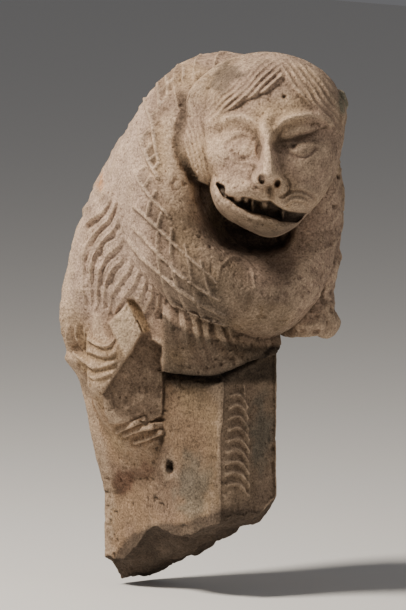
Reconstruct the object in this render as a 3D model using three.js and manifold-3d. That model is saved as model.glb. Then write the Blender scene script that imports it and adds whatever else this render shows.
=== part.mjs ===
// A lion protome in carved stone: the forepart of a lion that springs from a wall, above a slim pillar.
// Millimetres, +Z up. The lion's body faces -Y and its head turns to its right.
// The origin is on the flat back face, y = 0, where the stone meets the wall.

import * as THREE from 'three';
import { mergeVertices } from 'three/addons/utils/BufferGeometryUtils.js';
import Module from 'manifold-3d';

const wasm = await Module();
wasm.setup();

const { abs, cos, exp, hypot, max, min, round, sign, sin, PI } = Math;
const { clamp, degToRad, lerp, smoothstep } = THREE.MathUtils;
const TURN = 2 * PI;
const UP = new THREE.Vector3(0, 0, 1);

// Driving dimensions

const STONE = { colour: '#a8937c', roughness: 0.92, metalness: 0 };

const PILLAR = {
  width: 94, depth: 202, top: 108, bottom: -230, corner: 7, levels: 8,
  // How much each side of the rear draws in, and the depths below the origin where that starts and ends.
  taper: 10, taperFrom: 10, taperTo: 80,
};

const FERN = {
  top: 66, foot: -52, leaves: 10, reachTop: 24, reachFoot: 38, leafRise: 13, stemX: -3, wornShare: 0.6,
  stemRadius: 3.2, leafRadius: 3.6, sides: 4, steps: 3,
  panelDepth: 4, panelInset: 4, panelTop: 104, panelFoot: -130,
};

// The ruff is a cushion-like ring round the head, and the flank runs back from it to the wall.
const RUFF = {
  centre: new THREE.Vector3(0, -183, 280), turn: degToRad(-20), pitch: degToRad(5),
  halfWidth: 128, halfHeight: 165,
  // Share of the ring's half size, and reach in front of its middle plane.
  profile: [[0, -20], [0.2, -18], [0.34, 0], [0.5, 21], [0.67, 29], [0.86, 19], [1, -12], [1.03, -44]],
  hollowFill: 20, rows: 11, columns: 58,
  // On the lion's left the ring is wider by this share, and on the breast it stands further out.
  leftSwell: 0.08, breastReach: 26, tuck: 0.105, tuckAt: degToRad(238),
};

// The net on the ruff is clear from the crown down the right side, and worn away elsewhere.
const NET = {
  fromRow: 3, fromStage: 0.46, depth: 2.8, clearAt: degToRad(185), clearHalf: degToRad(100), wornShare: 0.3,
};

const FLANK = {
  rows: 8, strandDepth: 3.4, sweep: -0.04, wave: 0.9, bulge: 5,
  wallCentre: new THREE.Vector3(0, 24, 100), wallHalfWidth: 106, wallRise: 222, wallDrop: 62,
  sidePower: 1.15, risePower: 1.6,
};

const CHEST = {
  centre: new THREE.Vector3(0, -108, 0), rim: 80, rimRise: 22, top: 178,
  rimHalfWidth: 61, rimHalfDepth: 113, topHalfWidth: 70, topHalfDepth: 80, bulge: 6, power: 3.2,
  columns: 40, rows: 6, lockDepth: 4,
};

const HEAD = {
  centre: new THREE.Vector3(3, -227, 342), turn: degToRad(-45), pitch: degToRad(6),
  halfDepth: 84, flatness: 0.85, cells: 31, sideCells: 3, sideShare: 0.55,
  // Seen from the front: degrees from the viewer's right, and the head's reach that way.
  outline: [
    [0, 82], [14, 86], [27, 95], [45, 105], [63, 108], [90, 108], [110, 108], [132, 103], [150, 90],
    [164, 83], [188, 80], [204, 76], [215, 82], [232, 92], [251, 95], [272, 102], [288, 96], [301, 88],
    [325, 83],
  ],
};

// Lengths on the face are measured from the head's centre: x to the viewer's right, y up the face.
const FACE = {
  hairPeak: [15, 72], hairFallLeft: 0.54, hairFallRight: 0.94, hairRaise: 6, strandPitch: 15, strandDepth: 2,
  brows: [
    [[-70, 26], [-45, 34], [-25, 33], [-7, 22]],
    [[6, 15], [13, 25], [24, 31], [52, 32], [68, 22]],
  ],
  browRaise: 6, browWidth: 5.5,
  eyes: [{ at: [-28, 3], tilt: degToRad(-6), depth: 11 }, { at: [36, 7], tilt: degToRad(20), depth: 14 }],
  socketHalf: [25, 12], lidHalf: [15, 5], lidRaise: 7,
  noseTop: [0, 26], noseTip: [1, -30], noseHalfTop: 7, noseHalfTip: 14,
  noseRaiseTop: 5, noseRaiseTip: 20, noseFoot: 15,
  nostrils: [[-8, -37], [11, -41]], nostrilRadius: 4.6, nostrilDepth: 10,
  lips: [{ at: [-30, -46], half: [28, 15], raise: 9 }, { at: [24, -58], half: [30, 16], raise: 13 }],
  chin: [[-54, -58], [-36, -76], [-8, -90], [20, -94], [40, -86]], chinRaise: 10, chinWidth: 9,
  mouth: [[-56, -42], [-47, -54], [-30, -62], [-10, -68], [8, -73], [25, -78], [44, -75]],
  mouthHalfLeft: 5, mouthHalfRight: 8, mouthDepth: 21,
  cheeks: [[-50, -16], [48, -20]], cheekHalf: 24, cheekRaise: 6,
};

// Round lumps on the head: the right ear under the hair, the stub of the left ear, and the hair by the cheek.
const LUMPS = [
  { place: [-60, 58, 0], half: [37, 42, 36] },
  { place: [78, 52, -8], half: [11, 16, 18] },
  { place: [-70, 0, -4], half: [32, 52, 34] },
];

// The right foreleg comes down the pillar's side. Its front broke away and left a flat scar.
const LEG = {
  y: -58, halfDepth: 53, top: 188, foot: -75, rows: 13, columns: 20, sunk: 20,
  // Height, and how far the leg stands out from the pillar's side there.
  swell: [[188, 24], [165, 48], [140, 58], [105, 62], [60, 60], [32, 42], [0, 18], [-40, 3], [-75, -10]],
  folds: 3, foldTop: 7, foldPitch: 5, foldRise: 13, foldFrom: -48, foldTo: -86, foldStep: -11,
  foldRadius: 3.4,
};

// Behind the leg the flank runs down the pillar's rear edge.
const HAUNCH = {
  y: 0, halfDepth: 62, sunk: 20, top: 120, foot: -95, rows: 9, columns: 16,
  swell: [[120, 56], [90, 46], [65, 35], [31, 27], [3, 16], [-22, 7], [-60, -7], [-95, -14]],
};

// The left shoulder is a stump that broke off level.
const SHOULDER = {
  x: 88, y: -202, halfWidth: 44, halfDepth: 46, top: 275, foot: 70, rows: 9, columns: 18,
  swell: [
    [275, 0.3], [240, 0.8], [209, 0.95], [190, 0.89], [168, 0.74], [150, 0.82], [134, 0.89], [118, 0.78],
    [70, 0.7],
  ],
};

// Each break: a point on it, the way the broken face looks, and how uneven it is.
const BREAKS = {
  foot: { point: [0, -100, -130], looks: [0.05, -0.46, -1], uneven: 4.5 },
  footCorner: { point: [-25, 0, -160], looks: [-0.77, 0, -0.64], uneven: 2 },
  shoulder: { point: [88, -210, 118], looks: [-0.1, 0.05, -1], uneven: 6 },
  legScar: { point: [-47, -108, 60], looks: [-0.54, -0.81, -0.2], uneven: 2 },
  legScarTop: { point: [-85, -77, 87], looks: [0.54, -0.62, -0.57], uneven: 2 },
  legFacet: { point: [-88, -88, 122], looks: [-0.66, -0.62, 0.42], uneven: 1 },
  legCrest: { point: [-77, -94, 141], looks: [-0.261, -0.898, 0.337], uneven: 1 },
  legScarFoot: { point: [-60, -80, 20], looks: [-0.1, -0.1, 1], uneven: 3 },
};

// A hollow chip out of the pillar's right side at the broken foot.
const CHIP = { place: [-66, -85, -150], half: [42, 70, 48] };

const TRIM = 600;

// Small tools

const bell = (distance, width) => exp(-((distance / width) ** 2));
const power = (value, exponent) => sign(value) * abs(value) ** exponent;

/** An uneven surface from a few waves, about -1 to 1, for broken faces. */
function roughness(x, y, z) {
  return (sin(0.11 * x + 0.17 * z + 1) + sin(0.19 * y - 0.13 * x) + sin(0.31 * z + 0.23 * y + 2)) / 3;
}

/** Straight-line look-up in a list of [position, value] pairs that runs downwards or upwards. */
function along(pairs, position) {
  const rising = pairs[0][0] < pairs.at(-1)[0] ? pairs : [...pairs].reverse();
  const next = rising.findIndex(([at]) => at >= position);
  if (next === 0) return rising[0][1];
  if (next < 0) return rising.at(-1)[1];
  const [[a, from], [b, to]] = [rising[next - 1], rising[next]];
  return lerp(from, to, (position - a) / (b - a));
}

/** A solid from a closed geometry, turned so that its faces point out. */
function solid(geometry) {
  const bare = geometry.clone();
  const extras = Object.keys(bare.attributes).filter((name) => name !== 'position');
  extras.forEach((name) => bare.deleteAttribute(name));
  const merged = mergeVertices(bare, 1e-3);
  const build = (triVerts) => new wasm.Manifold(
    new wasm.Mesh({ numProp: 3, vertProperties: merged.attributes.position.array, triVerts }));
  const triVerts = new Uint32Array(merged.index.array);
  const made = build(triVerts);
  return made.volume() > 0 ? made : build(triVerts.reverse());
}

/** A solid back as a geometry. */
function geometryOf(body) {
  const mesh = body.getMesh();
  const geometry = new THREE.BufferGeometry();
  geometry.setAttribute('position', new THREE.BufferAttribute(new Float32Array(mesh.vertProperties), 3));
  geometry.setIndex(new THREE.BufferAttribute(new Uint32Array(mesh.triVerts), 1));
  return geometry;
}

/** A sphere whose points are sent to place(share round, share down), with edges along both diagonals. */
function morphSphere(columns, rows, place) {
  const geometry = new THREE.SphereGeometry(1, columns, rows);
  const { position, uv } = geometry.attributes;
  for (let i = 0; i < position.count; i++) {
    const row = round((1 - uv.getY(i)) * rows);
    const column = row % rows === 0 ? 0 : round(uv.getX(i) * columns) % columns;
    position.setXYZ(i, ...place(column / columns, row / rows, column, row).toArray());
  }
  const corner = (column, row) => row * (columns + 1) + column;
  const index = [];
  for (let row = 0; row < rows; row++) {
    for (let column = 0; column < columns; column++) {
      const [a, b] = [corner(column, row), corner(column + 1, row)];
      const [c, d] = [corner(column, row + 1), corner(column + 1, row + 1)];
      const even = (column + row) % 2 === 0;
      const pair = even ? [[a, c, d], [a, d, b]] : [[a, c, b], [b, c, d]];
      if (row === 0) index.push(a, c, d);
      else if (row === rows - 1) index.push(a, c, b);
      else index.push(...pair.flat());
    }
  }
  geometry.setIndex(index);
  return solid(geometry);
}

/** place, moved out along its own surface by relief. */
function carved(place, relief) {
  const step = 1e-3;
  return (around, down, column, row) => {
    const here = place(around, down);
    const across = place(around + step, down).sub(place(around - step, down));
    const on = place(around, min(down + step, 1)).sub(place(around, max(down - step, 0)));
    const out = on.cross(across).normalize();
    return here.addScaledVector(out, relief(around, down, column, row));
  };
}

/** A right-handed frame that looks out at a turn from -Y and a pitch above level. */
function looking(turn, pitch) {
  const level = new THREE.Vector3(sin(turn), -cos(turn), 0);
  const right = new THREE.Vector3(cos(turn), sin(turn), 0);
  const out = level.clone().multiplyScalar(cos(pitch)).addScaledVector(UP, sin(pitch));
  return { right, up: out.clone().cross(right), out };
}

/** A box with a rough top face, set so that this face passes through a point and looks along a normal. */
function roughBlock(point, normal, width, length, height, cells, unevenness) {
  const geometry = new THREE.BoxGeometry(width, length, height, cells, cells, 1);
  const { position } = geometry.attributes;
  for (let i = 0; i < position.count; i++) {
    const [x, y, z] = [position.getX(i), position.getY(i), position.getZ(i)];
    if (z > 0) position.setZ(i, z + unevenness * roughness(3 * x, 3 * y, x - y));
  }
  geometry.translate(0, 0, -height / 2);
  geometry.applyQuaternion(new THREE.Quaternion().setFromUnitVectors(UP, normal.clone().normalize()));
  geometry.translate(...point.toArray());
  return solid(geometry);
}

// Mane: the ruff and the flank are one closed surface that ends behind the wall plane

const ruffFrame = looking(RUFF.turn, RUFF.pitch);
const ruffLine = new THREE.SplineCurve(RUFF.profile.map(([share, reach]) => new THREE.Vector2(share, reach)));
const MANE_ROWS = RUFF.rows + FLANK.rows + 1;

function ruffPoint(angle, stage) {
  const { x: share, y: reach } = ruffLine.getPoint(stage);
  const fill = RUFF.hollowFill * (1 - smoothstep(share, 0.2, 0.5)) * smoothstep(sin(angle), -0.6, 0.5);
  const swell = 1 + RUFF.leftSwell * smoothstep(cos(angle), 0.6, 0.97);
  const breast = RUFF.breastReach * smoothstep(-sin(angle), 0.2, 0.9) * smoothstep(share, 0.3, 0.7);
  const tucked = share * (1 - RUFF.tuck * smoothstep(cos(angle - RUFF.tuckAt), 0.72, 1));
  return RUFF.centre.clone()
    .addScaledVector(ruffFrame.right, tucked * swell * RUFF.halfWidth * cos(angle))
    .addScaledVector(ruffFrame.up, tucked * RUFF.halfHeight * sin(angle))
    .addScaledVector(ruffFrame.out, reach + fill + breast);
}

function wallPoint(angle) {
  const rising = sin(angle) > 0;
  const side = power(cos(angle), rising ? 2 / FLANK.sidePower : 1);
  const rise = power(sin(angle), rising ? 2 / FLANK.risePower : 1);
  const height = rising ? FLANK.wallRise : FLANK.wallDrop;
  return FLANK.wallCentre.clone().add(new THREE.Vector3(FLANK.wallHalfWidth * side, 0, height * rise));
}

/** How far the locks have swept down the flank, as a share of a turn. */
function lockSweep(angle, stage) {
  return -cos(angle) * FLANK.sweep * (stage + sin(TURN * stage) * FLANK.wave / TURN);
}

function manePlace(around, down) {
  const rowAt = down * MANE_ROWS;
  const angle = TURN * around;
  if (rowAt <= NET.fromRow) return ruffPoint(angle, NET.fromStage * rowAt / NET.fromRow);
  if (rowAt <= RUFF.rows) {
    return ruffPoint(angle, lerp(NET.fromStage, 1, (rowAt - NET.fromRow) / (RUFF.rows - NET.fromRow)));
  }
  const stage = (rowAt - RUFF.rows) / FLANK.rows;
  if (stage > 1 + 1e-9) return FLANK.wallCentre.clone().lerp(wallPoint(angle), max(0, MANE_ROWS - rowAt));
  const swept = angle + TURN * lockSweep(angle, stage);
  const point = ruffPoint(swept, 1).lerp(wallPoint(swept), stage);
  return point.addScaledVector(ruffFrame.right, FLANK.bulge * cos(swept) * sin(PI * stage));
}

/** Raised net on the ruff, then raised and sunk strands on the flank. */
function maneRelief(around, down, column, row) {
  if (row < NET.fromRow || row >= MANE_ROWS - 1) return 0;
  if (row <= RUFF.rows) {
    const aside = abs(TURN * (around + 1) % TURN - NET.clearAt);
    const worn = smoothstep(aside, 0.75 * NET.clearHalf, NET.clearHalf);
    return ((column + row) % 2 === 0 ? 1 : -1) * NET.depth * lerp(1, NET.wornShare, worn);
  }
  const fade = smoothstep(MANE_ROWS - 1 - row, 0, 3);
  return fade * (column % 2 === 0 ? FLANK.strandDepth : -FLANK.strandDepth);
}

const mane = morphSphere(RUFF.columns, MANE_ROWS, carved(manePlace, maneRelief));

// Chest: long locks that hang below the ruff and overhang the pillar's front

function chestPlace(around, down) {
  const angle = TURN * around;
  const [side, front] = [power(cos(angle), 2 / CHEST.power), power(sin(angle), 2 / CHEST.power)];
  const rim = CHEST.rim + CHEST.rimRise * smoothstep(cos(angle) - sin(angle), -0.4, 1.4);
  const body = clamp((down - 0.12) / 0.76, 0, 1);
  const halfWidth = lerp(CHEST.topHalfWidth, CHEST.rimHalfWidth, body) + CHEST.bulge * sin(PI * body);
  const halfDepth = lerp(CHEST.topHalfDepth, CHEST.rimHalfDepth, body);
  const spread = down < 0.12 ? down / 0.12 : min(1, (1 - down) / 0.12);
  const level = lerp(CHEST.top, rim, body);
  return new THREE.Vector3(
    CHEST.centre.x + spread * halfWidth * side, CHEST.centre.y + spread * halfDepth * front, level);
}

function chestRelief(around, down, column, row) {
  if (row < 2 || row > CHEST.rows - 2) return 0;
  return column % 2 === 0 ? CHEST.lockDepth : -CHEST.lockDepth;
}

const chest = morphSphere(CHEST.columns, CHEST.rows, carved(chestPlace, chestRelief));

// Head: a sphere of square cells, shaped to the skull and then carved as a face

const headFrame = looking(HEAD.turn, HEAD.pitch);

/** A point given by its lengths to the right, up and out of the head's centre. */
function onHead(x, y, z) {
  return HEAD.centre.clone()
    .addScaledVector(headFrame.right, x).addScaledVector(headFrame.up, y).addScaledVector(headFrame.out, z);
}

/** Height of the hairline above the head's centre at x. */
function hairline(x) {
  const [peakX, peakY] = FACE.hairPeak;
  return peakY - (x < peakX ? FACE.hairFallLeft * (peakX - x) : FACE.hairFallRight * (x - peakX));
}

/** Distance from a point to a curve through a few points, and the share along it. */
function nearestOn(points, x, y) {
  const curve = new THREE.SplineCurve(points.map(([px, py]) => new THREE.Vector2(px, py)));
  const steps = 24;
  let best = { distance: Infinity, share: 0, above: 0 };
  for (let i = 0; i <= steps; i++) {
    const at = curve.getPoint(i / steps);
    const distance = hypot(x - at.x, y - at.y);
    if (distance < best.distance) best = { distance, share: i / steps, above: y - at.y };
  }
  return best;
}

/** How far the carved face stands out from the smooth skull at x, y. */
function faceRelief(x, y) {
  const aboveHair = y - hairline(x);
  const strands = FACE.hairRaise + FACE.strandDepth * sin(TURN * aboveHair / FACE.strandPitch);
  let height = strands * smoothstep(aboveHair, -2, 3);
  for (const brow of FACE.brows) {
    height += FACE.browRaise * bell(nearestOn(brow, x, y).distance, FACE.browWidth);
  }
  for (const { at, tilt, depth } of FACE.eyes) {
    const [dx, dy] = [x - at[0], y - at[1]];
    const [lengthwise, across] = [dx * cos(tilt) + dy * sin(tilt), dy * cos(tilt) - dx * sin(tilt)];
    height -= depth * bell(hypot(lengthwise / FACE.socketHalf[0], across / FACE.socketHalf[1]), 1);
    height += FACE.lidRaise * bell(hypot(lengthwise / FACE.lidHalf[0], (across + 4) / FACE.lidHalf[1]), 1);
  }
  for (const [cheekX, cheekY] of FACE.cheeks) {
    height += FACE.cheekRaise * bell(hypot(x - cheekX, y - cheekY), FACE.cheekHalf);
  }
  for (const { at, half, raise } of FACE.lips) {
    height += raise * bell(hypot((x - at[0]) / half[0], (y - at[1]) / half[1]), 1);
  }
  height += FACE.chinRaise * bell(nearestOn(FACE.chin, x, y).distance, FACE.chinWidth);
  height += noseRelief(x, y);
  for (const [nostrilX, nostrilY] of FACE.nostrils) {
    height -= FACE.nostrilDepth * bell(hypot(x - nostrilX, y - nostrilY), FACE.nostrilRadius);
  }
  const mouth = nearestOn(FACE.mouth, x, y);
  const open = lerp(FACE.mouthHalfLeft, FACE.mouthHalfRight, mouth.share);
  return height - FACE.mouthDepth * (1 - smoothstep(mouth.distance, 0.6 * open, 1.2 * open));
}

/** The nose: a ridge with steep sides that widens and rises to its tip. */
function noseRelief(x, y) {
  const share = clamp((FACE.noseTop[1] - y) / (FACE.noseTop[1] - FACE.noseTip[1]), 0, 1);
  const middle = lerp(FACE.noseTop[0], FACE.noseTip[0], share);
  const aside = (x - middle) / lerp(FACE.noseHalfTop, FACE.noseHalfTip, share);
  const foot = smoothstep(y, FACE.noseTip[1] - FACE.noseFoot, FACE.noseTip[1] - 6);
  const root = 1 - smoothstep(y, FACE.noseTop[1], FACE.noseTop[1] + 22);
  return foot * root * lerp(FACE.noseRaiseTop, FACE.noseRaiseTip, share) / (1 + aside ** 4);
}

/** The head's reach from its centre at an angle, seen from the front. */
const headOutline = (() => {
  const angles = HEAD.outline.map(([degrees, reach]) => new THREE.Vector3(
    reach * cos(degToRad(degrees)), reach * sin(degToRad(degrees)), 0));
  const around = new THREE.CatmullRomCurve3(angles, true).getPoints(360);
  const reaches = around.map((point) => [Math.atan2(point.y, point.x), point.length()]);
  return (angle) => reaches.reduce((best, next) =>
    abs(next[0] - angle) < abs(best[0] - angle) ? next : best)[1];
})();

function buildHead() {
  const { cells, sideCells, sideShare, halfDepth, flatness } = HEAD;
  const geometry = new THREE.BoxGeometry(2, 2, 2 * sideShare, cells, cells, sideCells);
  const { position } = geometry.attributes;
  const heights = [];
  const aim = new THREE.Vector3();
  for (let i = 0; i < position.count; i++) {
    aim.fromBufferAttribute(position, i).normalize();
    const reach = headOutline(Math.atan2(aim.y, aim.x));
    const [x, y] = [reach * aim.x, reach * aim.y];
    heights[i] = smoothstep(aim.z, 0.08, 0.45) * faceRelief(x, y);
    position.setXYZ(i, ...onHead(x, y, halfDepth * power(aim.z, flatness) + heights[i]).toArray());
  }
  followCarving(geometry, heights);
  return solid(geometry);
}

/** Turn the diagonal of each square cell to run along the carving rather than across it. */
function followCarving(geometry, heights) {
  const index = geometry.index.array;
  for (let i = 0; i < index.length; i += 6) {
    const [a, b, d, c] = [index[i], index[i + 1], index[i + 2], index[i + 4]];
    if (abs(heights[a] - heights[c]) < abs(heights[b] - heights[d])) index.set([a, b, c, a, c, d], i);
  }
}

function buildLump({ place, half }) {
  const geometry = new THREE.SphereGeometry(1, 12, 8).scale(half[0], half[1], half[2]);
  geometry.applyMatrix4(new THREE.Matrix4().makeBasis(headFrame.right, headFrame.up, headFrame.out));
  geometry.translate(...onHead(...place).toArray());
  return solid(geometry);
}

// Pillar: a rounded block that tapers downwards, with a fern in low relief on its front

function buildPillar() {
  const [halfWidth, depth, corner] = [PILLAR.width / 2, PILLAR.depth, PILLAR.corner];
  const outline = new THREE.Shape();
  outline.moveTo(-halfWidth, 20);
  outline.lineTo(-halfWidth, corner - depth);
  outline.quadraticCurveTo(-halfWidth, -depth, corner - halfWidth, -depth);
  outline.lineTo(halfWidth - corner, -depth);
  outline.quadraticCurveTo(halfWidth, -depth, halfWidth, corner - depth);
  outline.lineTo(halfWidth, 20);
  outline.closePath();
  const height = PILLAR.top - PILLAR.bottom;
  const geometry = new THREE.ExtrudeGeometry(
    outline, { depth: height, steps: PILLAR.levels, bevelEnabled: false, curveSegments: 3 });
  const { position } = geometry.attributes;
  for (let i = 0; i < position.count; i++) {
    const [x, y, z] = [position.getX(i), position.getY(i), position.getZ(i) + PILLAR.bottom];
    const rear = 1 - smoothstep(-y, 0, 0.75 * depth);
    const narrowing = PILLAR.taper * rear * smoothstep(-z, PILLAR.taperFrom, PILLAR.taperTo);
    position.setXYZ(i, x - sign(x) * narrowing, y, z);
  }
  return solid(geometry);
}

/** A ridge with pointed ends along a curve. */
function ridge(points, radius) {
  const curve = new THREE.QuadraticBezierCurve3(...points);
  const section = new THREE.Shape();
  for (let i = 0; i < FERN.sides; i++) {
    const angle = TURN * i / FERN.sides;
    const [x, y] = [radius * cos(angle), radius * sin(angle)];
    if (i === 0) section.moveTo(x, y);
    else section.lineTo(x, y);
  }
  section.closePath();
  const options = { steps: FERN.steps, extrudePath: curve, bevelEnabled: false };
  return solid(new THREE.ExtrudeGeometry(section, options));
}

function buildFern() {
  const face = -PILLAR.depth + FERN.panelDepth - 0.4;
  const at = (x, z) => new THREE.Vector3(FERN.stemX + x, face, z);
  const stem = [at(2, FERN.foot - 8), at(2, (FERN.foot + FERN.top) / 2), at(-6, FERN.top)];
  const ridges = [ridge(stem, FERN.stemRadius)];
  for (let i = 0; i < FERN.leaves; i++) {
    const share = i / (FERN.leaves - 1);
    const z = lerp(FERN.foot, FERN.top - 14, share);
    for (const side of i % 2 === 0 ? [-1, 1] : [-1]) {
      const worn = side < 0 ? 1 : FERN.wornShare;
      const reach = worn * lerp(FERN.reachFoot, FERN.reachTop, share);
      const curl = [
        at(0, z - 3), at(side * 0.4 * reach, z + FERN.leafRise), at(side * reach, z + FERN.leafRise),
      ];
      ridges.push(ridge(curl, worn * FERN.leafRadius));
    }
  }
  return ridges;
}

function fernPanel() {
  const width = PILLAR.width - 2 * FERN.panelInset;
  const height = FERN.panelTop - FERN.panelFoot;
  const geometry = new THREE.BoxGeometry(width, 2 * FERN.panelDepth, height);
  geometry.translate(0, -PILLAR.depth, (FERN.panelTop + FERN.panelFoot) / 2);
  return solid(geometry);
}

// Limbs: the right foreleg half sunk in the pillar's side, and the stump of the left shoulder

/** A closed upright limb: its middle at x, y and its half sizes given by its height. */
function limb({ columns, rows, top, foot }, middle, halfSizes) {
  return morphSphere(columns, rows, (around, down) => {
    const angle = TURN * around;
    const z = lerp(top, foot, down);
    const spread = min(1, 8 * down, 8 * (1 - down));
    const [halfWidth, halfDepth] = halfSizes(z);
    return new THREE.Vector3(
      middle[0] + halfWidth * cos(angle) * spread, middle[1] + halfDepth * sin(angle) * spread, z);
  });
}

/** A limb that is half sunk in the pillar's right side. */
function sideLimb(sizes) {
  const halfSizes = (z) => [along(sizes.swell, z) + sizes.sunk, sizes.halfDepth];
  return limb(sizes, [sizes.sunk - PILLAR.width / 2, sizes.y], halfSizes);
}

/** Low folds below the scar, each slanting up towards the breast. */
function buildFolds() {
  const folds = [];
  const at = (y, z) => {
    const share = (y - LEG.y) / LEG.halfDepth;
    const out = (along(LEG.swell, z) + LEG.sunk) * (max(0, 1 - share * share) ** 0.5) - LEG.sunk;
    return new THREE.Vector3(-PILLAR.width / 2 - max(out, 0), y, z);
  };
  for (let i = 0; i < LEG.folds; i++) {
    const z = LEG.foldTop - i * LEG.foldPitch;
    const [rear, front] = [LEG.foldFrom + i * LEG.foldStep, LEG.foldTo + i * LEG.foldStep];
    const [from, to] = [at(rear, z), at(front, z + LEG.foldRise)];
    const middle = at((rear + front) / 2, z + LEG.foldRise / 2).multiplyScalar(2).addScaledVector(from, -0.5);
    folds.push(ridge([from, middle.addScaledVector(to, -0.5), to], LEG.foldRadius));
  }
  return folds;
}

function buildShoulder() {
  const { x, y, halfWidth, halfDepth, swell } = SHOULDER;
  const halfSizes = (z) => [halfWidth * along(swell, z), halfDepth * along(swell, z)];
  return limb(SHOULDER, [x, y], halfSizes);
}

// Joining and breaking

/** The stone that a break took away, as a block behind a rough face. */
function lost({ point, looks, uneven }, size, cells) {
  const into = new THREE.Vector3(...looks).negate();
  return roughBlock(new THREE.Vector3(...point), into, size, size, size, cells, uneven);
}

/** The stone on the kept side of a break. */
function kept({ point, looks, uneven }, size, cells) {
  const out = new THREE.Vector3(...looks);
  return roughBlock(new THREE.Vector3(...point), out, size, size, size, cells, uneven);
}

const chip = solid(new THREE.SphereGeometry(1, 16, 12).scale(...CHIP.half).translate(...CHIP.place));
const wall = solid(new THREE.BoxGeometry(TRIM, TRIM, 2 * TRIM).translate(0, TRIM / 2, 0));
const scar = lost(BREAKS.legScar, 180, 12)
  .subtract(kept(BREAKS.legScarTop, 300, 12))
  .subtract(kept(BREAKS.legScarFoot, 300, 12));
const leg = sideLimb(LEG)
  .subtract(scar)
  .subtract(lost(BREAKS.legFacet, 90, 3))
  .subtract(lost(BREAKS.legCrest, 90, 3));
const shoulder = buildShoulder().subtract(lost(BREAKS.shoulder, 300, 14));

let lion = buildPillar().subtract(fernPanel());
lion = wasm.Manifold.union([lion, ...buildFern(), leg, ...buildFolds()]);
lion = lion.subtract(lost(BREAKS.foot, TRIM, 40)).subtract(lost(BREAKS.footCorner, 90, 6)).subtract(chip);
const head = [buildHead(), ...LUMPS.map(buildLump)];
lion = wasm.Manifold.union([lion, sideLimb(HAUNCH), chest, mane, shoulder, ...head]);
lion = lion.subtract(wall);

const { colour, roughness: matt, metalness } = STONE;
const stone = new THREE.MeshStandardMaterial({ color: colour, roughness: matt, metalness });
const mesh = new THREE.Mesh(geometryOf(lion), stone);
mesh.name = 'lion_protome';

const protome = new THREE.Group();
protome.add(mesh);
export default protome;
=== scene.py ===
"""A weathered stone lion forepart that springs from a wall above a slim pillar."""

import logging
import math
from dataclasses import dataclass
from enum import Enum
from typing import Callable, Iterator

import bmesh
import bpy
import numpy as np
from mathutils import Matrix, Vector


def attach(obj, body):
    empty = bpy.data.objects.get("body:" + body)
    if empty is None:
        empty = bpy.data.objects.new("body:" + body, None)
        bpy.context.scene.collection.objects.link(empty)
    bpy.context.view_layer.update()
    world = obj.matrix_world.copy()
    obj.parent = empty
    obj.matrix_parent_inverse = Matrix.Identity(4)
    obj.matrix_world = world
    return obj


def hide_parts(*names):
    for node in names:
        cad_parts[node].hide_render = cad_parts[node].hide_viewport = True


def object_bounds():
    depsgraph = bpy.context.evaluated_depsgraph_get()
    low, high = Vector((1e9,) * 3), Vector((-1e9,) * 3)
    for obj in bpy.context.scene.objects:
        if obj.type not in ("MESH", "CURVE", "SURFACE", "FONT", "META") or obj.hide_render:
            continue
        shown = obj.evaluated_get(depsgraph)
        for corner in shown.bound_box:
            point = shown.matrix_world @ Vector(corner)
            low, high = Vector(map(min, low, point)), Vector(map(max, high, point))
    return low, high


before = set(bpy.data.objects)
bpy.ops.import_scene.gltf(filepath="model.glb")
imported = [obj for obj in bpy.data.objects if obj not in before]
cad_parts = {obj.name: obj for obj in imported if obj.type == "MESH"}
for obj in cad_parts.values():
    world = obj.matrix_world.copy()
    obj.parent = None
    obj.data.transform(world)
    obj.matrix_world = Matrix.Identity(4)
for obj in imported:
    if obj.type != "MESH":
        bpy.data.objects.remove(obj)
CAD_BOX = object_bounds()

log = logging.getLogger("lion_protome")

MM = 0.001
TURN = 2.0 * math.pi
Array = np.ndarray
Place = Callable[[Array, Array], Array]
Pairs = tuple[tuple[float, float], ...]
Colour = tuple[float, float, float]
Plane = tuple[tuple[float, ...], tuple[float, ...]]
Layer = tuple[Colour, Array]


def smooth(value: Array, low: float, high: float) -> Array:
    """Rise smoothly from 0 at low to 1 at high."""
    share = np.clip((value - low) / (high - low), 0.0, 1.0)
    return share * share * (3.0 - 2.0 * share)


def fall(value: Array, low: float, high: float) -> Array:
    """Fall smoothly from 1 at low to 0 at high."""
    return 1.0 - smooth(value, low, high)


def span(value: Array, start: float, full: float, fade: float, end: float) -> Array:
    """Rise smoothly from 0 to 1 between start and full, and fall back between fade and end."""
    return smooth(value, start, full) * fall(value, fade, end)


def bell(distance: Array, width: float) -> Array:
    """A rounded hump of height 1 at distance 0."""
    return np.exp(-((distance / width) ** 2))


def signed_power(value: Array, exponent: float) -> Array:
    """Raise the size of a value to an exponent and keep its sign."""
    return np.sign(value) * np.abs(value) ** exponent


def mix(first: Array, second: Array, share: Array) -> Array:
    """Go from first to second by a share."""
    return first + (second - first) * share


def grain(points: Array, cell: float, seed: int = 0) -> Array:
    """Give an uneven field that is smooth over a cell.

    Args:
        points: Positions in millimetres, one row each.
        cell: Size of the unevenness in millimetres.
        seed: Number that picks one of many fields.

    Returns:
        A value from -1 to 1 for each point.
    """
    scaled = points / cell + 17.31 * seed
    base = np.floor(scaled).astype(np.int64)
    share = scaled - base
    share = share * share * (3.0 - 2.0 * share)
    total = np.zeros(len(points))
    for corner in range(8):
        step = np.array([(corner >> axis) & 1 for axis in range(3)])
        weight = np.prod(np.where(step == 1, share, 1.0 - share), axis=1)
        key = (base + step) @ np.array([73856093, 19349663, 83492791])
        key = ((key ^ (key >> 13)) * 1274126177) & 0xFFFFFFF
        key = (key ^ (key >> 9)) % 65536
        total += weight * (key / 32767.5 - 1.0)
    return total


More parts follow.
